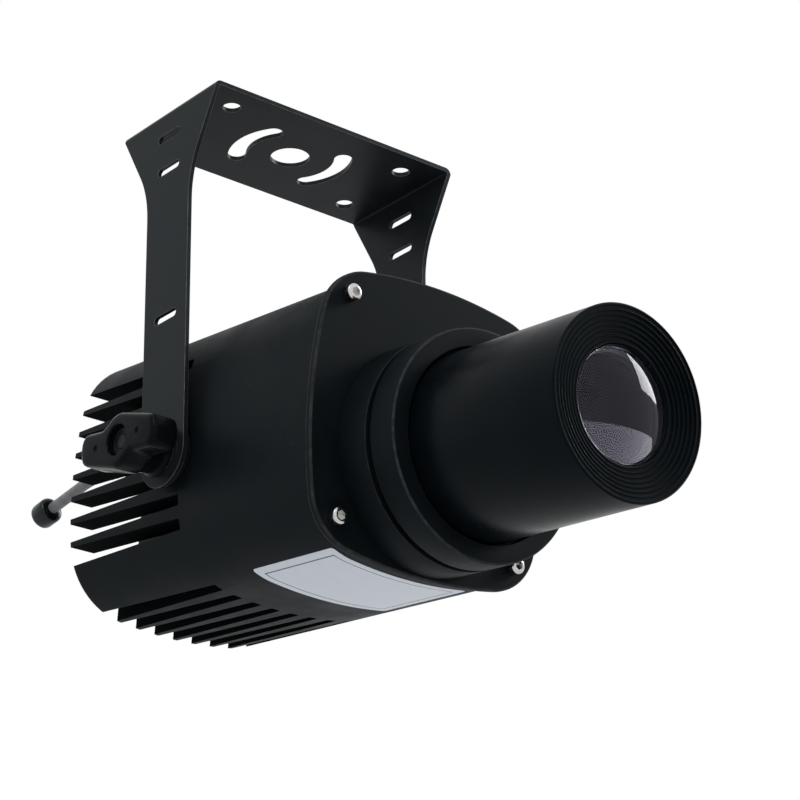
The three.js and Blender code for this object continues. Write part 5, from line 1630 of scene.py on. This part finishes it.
def build_knob(side, name):
    place = pivot_place()
    knob = make(f"knob_moulding_{name}", facing(knob_wings(side), side), place)
    join(knob, facing(knob_foot(), side), place)
    cut(knob, facing(knob_recess(), side), place)
    bore = rod(STUD_RADIUS + FIT, 0, 2 * knob_depths()[-1], DEPTH_ALONG_X)
    cut(knob, facing(bore, side), place)
    cut(knob, facing(knob_dimples(side), side), place)
    weld(knob)
    shade(knob)
    dress(knob, "moulding", f"knob_{name}", "knob", f"knob_{name}")


def build_knob_bolt(side, name):
    cap_in = knob_depths()[-1] - KNOB_RECESS_DEPTH + FIT
    bolt = along_x(spun(bolt_profile(cap_in), MEDIUM_STEPS))
    make_turned(
        f"knob_bolt_{name}", facing(bolt, side), pivot_place(),
        "blackened_steel", f"knob_{name}", "steel", f"knob_screw_{name}")


def bolt_profile(cap_in):
    """A plain shank and a round cap with stepped rings on its face."""
    start = settings("head").half_width + PIVOT_BOSS_RISE - INSERT_LENGTH
    top = cap_in + BOLT_CAP_HEIGHT
    profile = [(0, start), (STUD_RADIUS, start), (STUD_RADIUS, cap_in), (BOLT_CAP_RADIUS, cap_in)]
    width = BOLT_CAP_RADIUS / (BOLT_CAP_STEPS + 1)
    for i in range(BOLT_CAP_STEPS):
        level = top - (i % 2) * SCREW_CROWN
        profile += [(BOLT_CAP_RADIUS - i * width, level), (BOLT_CAP_RADIUS - (i + 1) * width, level)]
    last = profile[-1][1]
    return profile + [(0, last)]


def build_fan_frame():
    head = head_place()
    front = FAN_REAR - FAN_DEPTH
    base_rear = front + FAN_BASE_THICKNESS
    half = FAN_SIZE / 2
    square = ((-half, -half), (half, -half), (half, half), (-half, half))
    fan = make("fan_casing", prism(
        square, front, FAN_REAR, DEPTH_ALONG_Y, FAN_CORNER_RADIUS, CORNER_STEPS), head)
    cut(fan, rod(FAN_BORE_RADIUS, front - FIT, FAN_REAR + FIT, DEPTH_ALONG_Y, steps=MEDIUM_STEPS), head)
    holes = [rod(SCREW_SHANK_RADIUS + FIT, front - FIT, FAN_REAR + FIT, DEPTH_ALONG_Y, spot)
             for spot in corner_places(FAN_SCREW_SPACING)]
    cut(fan, merged(holes), head)
    strut_half = FAN_STRUT_WIDTH / 2
    for i in range(FAN_STRUT_COUNT):
        strut = block((-strut_half, front, 0), (strut_half, base_rear, FAN_BORE_RADIUS + FAN_EDGE_ROUND))
        turn = Matrix.Rotation(2 * math.pi * (i + 0.5) / FAN_STRUT_COUNT, 4, "Y")
        join(fan, strut, head @ turn)
    join(fan, rod(FAN_HUB_RADIUS, front, base_rear, DEPTH_ALONG_Y, steps=MEDIUM_STEPS), head)
    soften(fan, FAN_EDGE_ROUND)
    dress(fan, "moulding", "head", "black_plastic", "fan_frame")


def fan_blade(middle):
    """One cambered blade that flattens towards its tip, standing up along Z."""
    bm = bmesh.new()
    bmesh.ops.create_grid(bm, x_segments=BLADE_STEPS_ALONG, y_segments=BLADE_STEPS_OUT, size=0.5)
    for vert in bm.verts:
        along, out = vert.co.x, vert.co.y + 0.5
        chord = FAN_BLADE_CHORDS[0] + (FAN_BLADE_CHORDS[1] - FAN_BLADE_CHORDS[0]) * out
        pitch = FAN_BLADE_PITCHES[0] + (FAN_BLADE_PITCHES[1] - FAN_BLADE_PITCHES[0]) * out
        rise = FAN_BLADE_CAMBER * (1 - 4 * along * along)
        radius = FAN_BLADE_ROOT + (FAN_BLADE_TIP - FAN_BLADE_ROOT) * out
        across = rise * math.cos(pitch) - chord * along * math.sin(pitch)
        depth = chord * along * math.cos(pitch) + rise * math.sin(pitch)
        bearing = across / radius
        vert.co = (radius * math.sin(bearing), middle + depth, radius * math.cos(bearing))
    bmesh.ops.solidify(bm, geom=bm.faces[:], thickness=FAN_BLADE_THICKNESS)
    bmesh.ops.recalc_face_normals(bm, faces=bm.faces[:])
    return bm


def build_fan_rotor():
    head = head_place()
    front = FAN_REAR - FAN_DEPTH + FAN_BASE_THICKNESS + FIT
    rear = FAN_REAR - FAN_BASE_THICKNESS
    hub = spun([
        (0, rear - FAN_HUB_RING_DEPTH), (FAN_HUB_RING_RADIUS, rear - FAN_HUB_RING_DEPTH),
        (FAN_HUB_RING_RADIUS, rear), (FAN_HUB_RADIUS - FAN_HUB_ROUND, rear),
        (FAN_HUB_RADIUS, rear - FAN_HUB_ROUND), (FAN_HUB_RADIUS, front), (0, front)], MEDIUM_STEPS)
    blades = []
    for i in range(FAN_BLADE_COUNT):
        blade = fan_blade((front + rear) / 2)
        turn = Matrix.Rotation(2 * math.pi * i / FAN_BLADE_COUNT, 4, "Y")
        bmesh.ops.transform(blade, matrix=turn, verts=blade.verts[:])
        blades.append(blade)
    make_turned(
        "fan_impeller", merged([hub, *blades]), head, "moulding", "fan", "black_plastic", "fan_rotor")


def build_fan_screws():
    """The fan's four screws; the first also goes through the cable bracket."""
    end = FAN_REAR - FAN_DEPTH - FIT - FAN_SCREW_GRIP
    for i, spot in enumerate(corner_places(FAN_SCREW_SPACING), start=1):
        seat = FAN_REAR + FIT + (BRACKET_SHEET + FIT if i == 1 else 0)
        build_screw(f"rear_screw_{i}", f"fan_screw_{i}", seat, end, spot, towards=1)


def build_bracket():
    """The sheet on the fan's rear that holds the lead, trimmed to the housing's cavity."""
    front = FAN_REAR + FIT
    rear = front + BRACKET_SHEET
    bracket = make("bracket_sheet", block(
        (BRACKET_OUTER_X, front, BRACKET_BOTTOM), (BRACKET_INNER_X, rear, BRACKET_TOP)), head_place())
    inside = raise_outline(cavity_outline(-FIT), front - FIT, rear + FIT, DEPTH_ALONG_Y)
    combine(bracket, inside, head_place(), "INTERSECT")
    screw_spot = corner_places(FAN_SCREW_SPACING)[0]
    cut(bracket, merged([
        rod(LEAD_DIAMETER / 2 + FIT, front - FIT, rear + FIT, DEPTH_ALONG_Y, (LEAD_X, LEAD_Z)),
        rod(SCREW_SHANK_RADIUS + FIT, front - FIT, rear + FIT, DEPTH_ALONG_Y, screw_spot)]), head_place())
    soften(bracket, FIT / 2)
    dress(bracket, "sheet_paint", "head", "housing", "cable_bracket")


def underside_drop(x):
    """How far below the housing's middle its underside lies at a place across it."""
    head = settings("head")
    back = head.side_radius - head.half_width
    corner = corner_centre(head.half_width, head.side_radius, head.corner_radius)
    side_end = head.side_radius * math.sin(math.atan2(corner, corner + back))
    if abs(x) <= side_end:
        return math.sqrt(head.side_radius ** 2 - x ** 2) - back
    return corner + math.sqrt(head.corner_radius ** 2 - (abs(x) - corner) ** 2)


def label_shape():
    """The film: a rounded rectangle, bent to the housing's bulging underside and given its thickness."""
    bm = bmesh.new()
    x0, x1 = LABEL_X - LABEL_WIDTH / 2, LABEL_X + LABEL_WIDTH / 2
    y0, y1 = -LABEL_FRONT, LABEL_LENGTH - LABEL_FRONT
    verts = chain(bm, ((x0, y0), (x1, y0), (x1, y1), (x0, y1)))
    round_corners(bm, verts, LABEL_CORNER_ROUND, LABEL_CORNER_STEPS)
    bmesh.ops.contextual_create(bm, geom=bm.edges[:])
    for i in range(1, LABEL_BENDS):
        bend_x = x0 + (x1 - x0) * i / LABEL_BENDS
        bmesh.ops.bisect_plane(
            bm, geom=bm.verts[:] + bm.edges[:] + bm.faces[:], plane_co=(bend_x, 0, 0), plane_no=(1, 0, 0))
    film_map = bm.loops.layers.uv.new("Film")
    for face in bm.faces:
        for loop in face.loops:
            spot = loop.vert.co
            loop[film_map].uv = ((spot.x - x0) / LABEL_WIDTH, (spot.y - y0) / LABEL_LENGTH)
    for vert in bm.verts:
        vert.co.z = -underside_drop(vert.co.x) - LABEL_GAP
    bmesh.ops.recalc_face_normals(bm, faces=bm.faces[:])
    bmesh.ops.solidify(bm, geom=bm.faces[:], thickness=LABEL_FILM)
    return bm


def build_label():
    label = make("label_film", label_shape(), head_place())
    low = min(vert.co.z for vert in label.data.vertices)
    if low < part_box("rating_label")[0][2] - FIT:
        raise RuntimeError("the label's film reaches below its place")
    shade(label)
    dress(label, "label_film", "head", "label", "rating_label")


KEPT_NODES = {
    "bright_steel": (
        "mount_screw_1", "mount_screw_2", "mount_screw_3", "mount_screw_4", "gobo_clip",
        "condenser_screw_1", "condenser_screw_2", "fan_post_1", "fan_post_2", "fan_post_3", "fan_post_4",
        "pivot_insert_left", "pivot_insert_right", "knob_washer_left", "knob_washer_right"),
    "bare_aluminium": ("heat_sink", "condenser_holder", "condenser_spacer", "condenser_ring"),
    "plain_glass": ("condenser_lens_rear", "condenser_lens_front"),
    "gobo_glass": ("gobo_disc",),
    "fibre": ("friction_washer_left", "friction_washer_right"),
    "led_board": ("led_module",),
    "driver_tin": ("led_driver",),
    "lead_sheath": ("lead_inside",),
}


def dress_kept_nodes():
    """Gives each CAD node that shows as it is a full material."""
    for finish, names in KEPT_NODES.items():
        for name in names:
            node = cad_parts[name]
            node.data.materials.clear()
            node.data.materials.append(material(finish))


# Studio


def build_camera():
    studio = settings("studio")
    data = bpy.data.cameras.new("Camera")
    data.lens = studio.focal
    data.clip_start = CAMERA_NEAR
    camera = bpy.data.objects.new("Camera", data)
    bpy.context.scene.collection.objects.link(camera)
    camera.matrix_world = (
        Matrix.Translation(studio.camera_place) @ Matrix.Rotation(studio.azimuth, 4, "Z")
        @ Matrix.Rotation(math.pi / 2 - studio.elevation, 4, "X") @ Matrix.Rotation(studio.roll, 4, "Z"))
    bpy.context.scene.camera = camera


def area_light(name, place, target, size, power, lean=0, only_reflected=False):
    """A rectangular softbox at place that faces target, leaning to one side."""
    data = bpy.data.lights.new(name, "AREA")
    data.shape = "RECTANGLE"
    data.size, data.size_y = size
    data.energy = power
    lamp = bpy.data.objects.new(name, data)
    bpy.context.scene.collection.objects.link(lamp)
    direction = Vector(target) - Vector(place)
    facing_target = direction.to_track_quat("-Z", "Y").to_matrix().to_4x4()
    lamp.matrix_world = Matrix.Translation(place) @ facing_target @ Matrix.Rotation(lean, 4, "Z")
    lamp.visible_camera = False
    lamp.visible_diffuse = not only_reflected
    return lamp


def pale_floor_material():
    made, tree, shader, place = start_material("Studio Floor")
    texture = place_group(tree, "Fine Grain", place, Grain=FLOOR_GRAIN, Drift=FLOOR_DRIFT)
    pale = blend(tree, texture.outputs["Variation"], *FLOOR_COLOURS)
    tree.links.new(pale, shader.inputs["Base Color"])
    seen = seen_by_eye(tree)
    tree.links.new(blend(tree, seen, (0, 0, 0), (1, 1, 1)), shader.inputs["Emission Color"])
    set_sockets(shader, Roughness=FLOOR_ROUGHNESS, Specular_IOR_Level=0.0, Emission_Strength=FLOOR_GLOW)
    return made


def seen_by_eye(tree):
    """One for what is seen straight, in a reflection or through glass; nought for light on a surface."""
    path = tree.nodes.new("ShaderNodeLightPath")
    seen = calculate(tree, "MAXIMUM", path.outputs["Is Camera Ray"], path.outputs["Is Transmission Ray"])
    return calculate(tree, "MAXIMUM", seen, path.outputs["Is Glossy Ray"])


def white_surroundings(ambient):
    """A world that is white to the camera and in reflections, and gives even light."""
    world = bpy.data.worlds.new("Surroundings")
    bpy.context.scene.world = world
    world.use_nodes = True
    tree = world.node_tree
    tree.nodes.clear()
    seen = seen_by_eye(tree)
    even = tree.nodes.new("ShaderNodeBackground")
    even.inputs["Strength"].default_value = ambient
    white = tree.nodes.new("ShaderNodeBackground")
    white.inputs["Color"].default_value = (1, 1, 1, 1)
    mix = tree.nodes.new("ShaderNodeMixShader")
    output = tree.nodes.new("ShaderNodeOutputWorld")
    tree.links.new(seen, mix.inputs["Fac"])
    tree.links.new(even.outputs["Background"], mix.inputs[1])
    tree.links.new(white.outputs["Background"], mix.inputs[2])
    tree.links.new(mix.outputs["Shader"], output.inputs["Surface"])


def build_studio():
    studio = settings("studio")
    bm = bmesh.new()
    bmesh.ops.create_grid(bm, x_segments=2, y_segments=2, size=FLOOR_HALF_SIZE)
    floor = make("studio_floor", bm, Matrix.Translation((0, 0, -studio.floor_drop)))
    floor.data.materials.append(pale_floor_material())
    white_surroundings(studio.ambient)
    middle = (0, 0, -settings("yoke").drop)
    area_light("Key Softbox", KEY_PLACE, middle, KEY_SIZE, studio.key_power)
    area_light("Window Softbox", WINDOW_PLACE, middle, WINDOW_SIZE, studio.window_power, WINDOW_LEAN, True)
    table = area_light("Table Sheen", TABLE_PLACE, middle, TABLE_SIZE, studio.table_power, TABLE_LEAN, True)
    glassware = bpy.data.collections.new("Glassware")
    glassware.objects.link(bpy.data.objects["front_glass"])
    table.light_linking.receiver_collection = glassware
    bpy.context.scene.view_settings.view_transform = "Standard"


# Operators


class PieceOperator:
    """What the operators share: each runs its builders and reports that it is done."""
    bl_options = {"REGISTER", "UNDO"}
    builders = ()

    def execute(self, context):
        for build in self.builders:
            build()
        return {"FINISHED"}


def build_groups():
    build_grain_group()
    build_wear_and_highlight_group()
    build_dust_group()


def build_knobs():
    for side, name in ((-1, "left"), (1, "right")):
        build_knob(side, name)
        build_knob_bolt(side, name)


class PROJECTOR_OT_camera(PieceOperator, bpy.types.Operator):
    """Set the camera at the viewing angle and prepare the effects that the finishes share"""
    bl_idname = "projector.camera"
    bl_label = "Camera"
    builders = (build_camera, build_groups)


class PROJECTOR_OT_lead(PieceOperator, bpy.types.Operator):
    """Build the power lead, its strain relief and its round end"""
    bl_idname = "projector.lead"
    bl_label = "Power Lead"
    builders = (build_lead,)


class PROJECTOR_OT_yoke(PieceOperator, bpy.types.Operator):
    """Build the bent sheet-metal yoke with its holes"""
    bl_idname = "projector.yoke"
    bl_label = "Yoke"
    builders = (build_yoke,)


class PROJECTOR_OT_housing(PieceOperator, bpy.types.Operator):
    """Build the finned housing casting"""
    bl_idname = "projector.housing"
    bl_label = "Housing"
    builders = (build_housing,)


class PROJECTOR_OT_cover(PieceOperator, bpy.types.Operator):
    """Build the front cover and its four screws"""
    bl_idname = "projector.cover"
    bl_label = "Front Cover"
    builders = (build_cover,)


class PROJECTOR_OT_mount(PieceOperator, bpy.types.Operator):
    """Build the lens mount and the collar"""
    bl_idname = "projector.mount"
    bl_label = "Lens Mount"
    builders = (build_mount, build_collar)


class PROJECTOR_OT_barrel(PieceOperator, bpy.types.Operator):
    """Build the focusing barrel, its rings and its lenses"""
    bl_idname = "projector.barrel"
    bl_label = "Lens Barrel"
    builders = (build_barrel, build_front_ring, build_rear_ring, build_front_lens, build_rear_lens)


class PROJECTOR_OT_knobs(PieceOperator, bpy.types.Operator):
    """Build the two clamp knobs"""
    bl_idname = "projector.knobs"
    bl_label = "Clamp Knobs"
    builders = (build_knobs,)


class PROJECTOR_OT_fan(PieceOperator, bpy.types.Operator):
    """Build the fan, its screws and the cable bracket"""
    bl_idname = "projector.fan"
    bl_label = "Fan"
    builders = (build_fan_frame, build_fan_rotor, build_fan_screws, build_bracket)


class PROJECTOR_OT_label(PieceOperator, bpy.types.Operator):
    """Build the blank rating label"""
    bl_idname = "projector.label"
    bl_label = "Label"
    builders = (build_label,)


class PROJECTOR_OT_inner(PieceOperator, bpy.types.Operator):
    """Finish the inner parts that keep their own shape"""
    bl_idname = "projector.inner"
    bl_label = "Inner Parts"
    builders = (dress_kept_nodes,)


class PROJECTOR_OT_studio(PieceOperator, bpy.types.Operator):
    """Build the floor, the lights and the surroundings"""
    bl_idname = "projector.studio"
    bl_label = "Studio"
    builders = (build_studio,)


OPERATORS = (
    PROJECTOR_OT_camera, PROJECTOR_OT_lead, PROJECTOR_OT_yoke, PROJECTOR_OT_housing, PROJECTOR_OT_cover,
    PROJECTOR_OT_mount, PROJECTOR_OT_barrel, PROJECTOR_OT_knobs, PROJECTOR_OT_fan, PROJECTOR_OT_label,
    PROJECTOR_OT_inner, PROJECTOR_OT_studio,
)
GROUPS = {
    "yoke": ProjectorYoke, "head": ProjectorHead, "lens": ProjectorLens,
    "colours": ProjectorColours, "studio": ProjectorStudio,
}


class PROJECTOR_PT_panel(bpy.types.Panel):
    """Lists the projector's settings and its builders"""
    bl_idname = "PROJECTOR_PT_panel"
    bl_label = "Gobo Projector"
    bl_space_type = "VIEW_3D"
    bl_region_type = "UI"
    bl_category = "Projector"

    def draw(self, context):
        for name in GROUPS:
            box = self.layout.box()
            box.label(text=name.capitalize())
            group = settings(name)
            for key in group.bl_rna.properties.keys():
                if key not in ("rna_type", "name"):
                    box.prop(group, key)
        for operator in OPERATORS:
            self.layout.operator(operator.bl_idname)


def register():
    for group in GROUPS.values():
        bpy.utils.register_class(group)
    for name, group in GROUPS.items():
        setattr(bpy.types.Scene, "projector_" + name, PointerProperty(type=group))
    for operator in OPERATORS:
        bpy.utils.register_class(operator)
    bpy.utils.register_class(PROJECTOR_PT_panel)


def unregister():
    bpy.utils.unregister_class(PROJECTOR_PT_panel)
    for operator in reversed(OPERATORS):
        bpy.utils.unregister_class(operator)
    for name, group in GROUPS.items():
        delattr(bpy.types.Scene, "projector_" + name)
        bpy.utils.unregister_class(group)


def main():
    register()
    bpy.ops.projector.camera()
    bpy.ops.projector.lead()
    bpy.ops.projector.yoke()
    bpy.ops.projector.housing()
    bpy.ops.projector.cover()
    bpy.ops.projector.mount()
    bpy.ops.projector.barrel()
    bpy.ops.projector.knobs()
    bpy.ops.projector.fan()
    bpy.ops.projector.label()
    bpy.ops.projector.inner()
    bpy.ops.projector.studio()


if __name__ == "__main__":
    main()
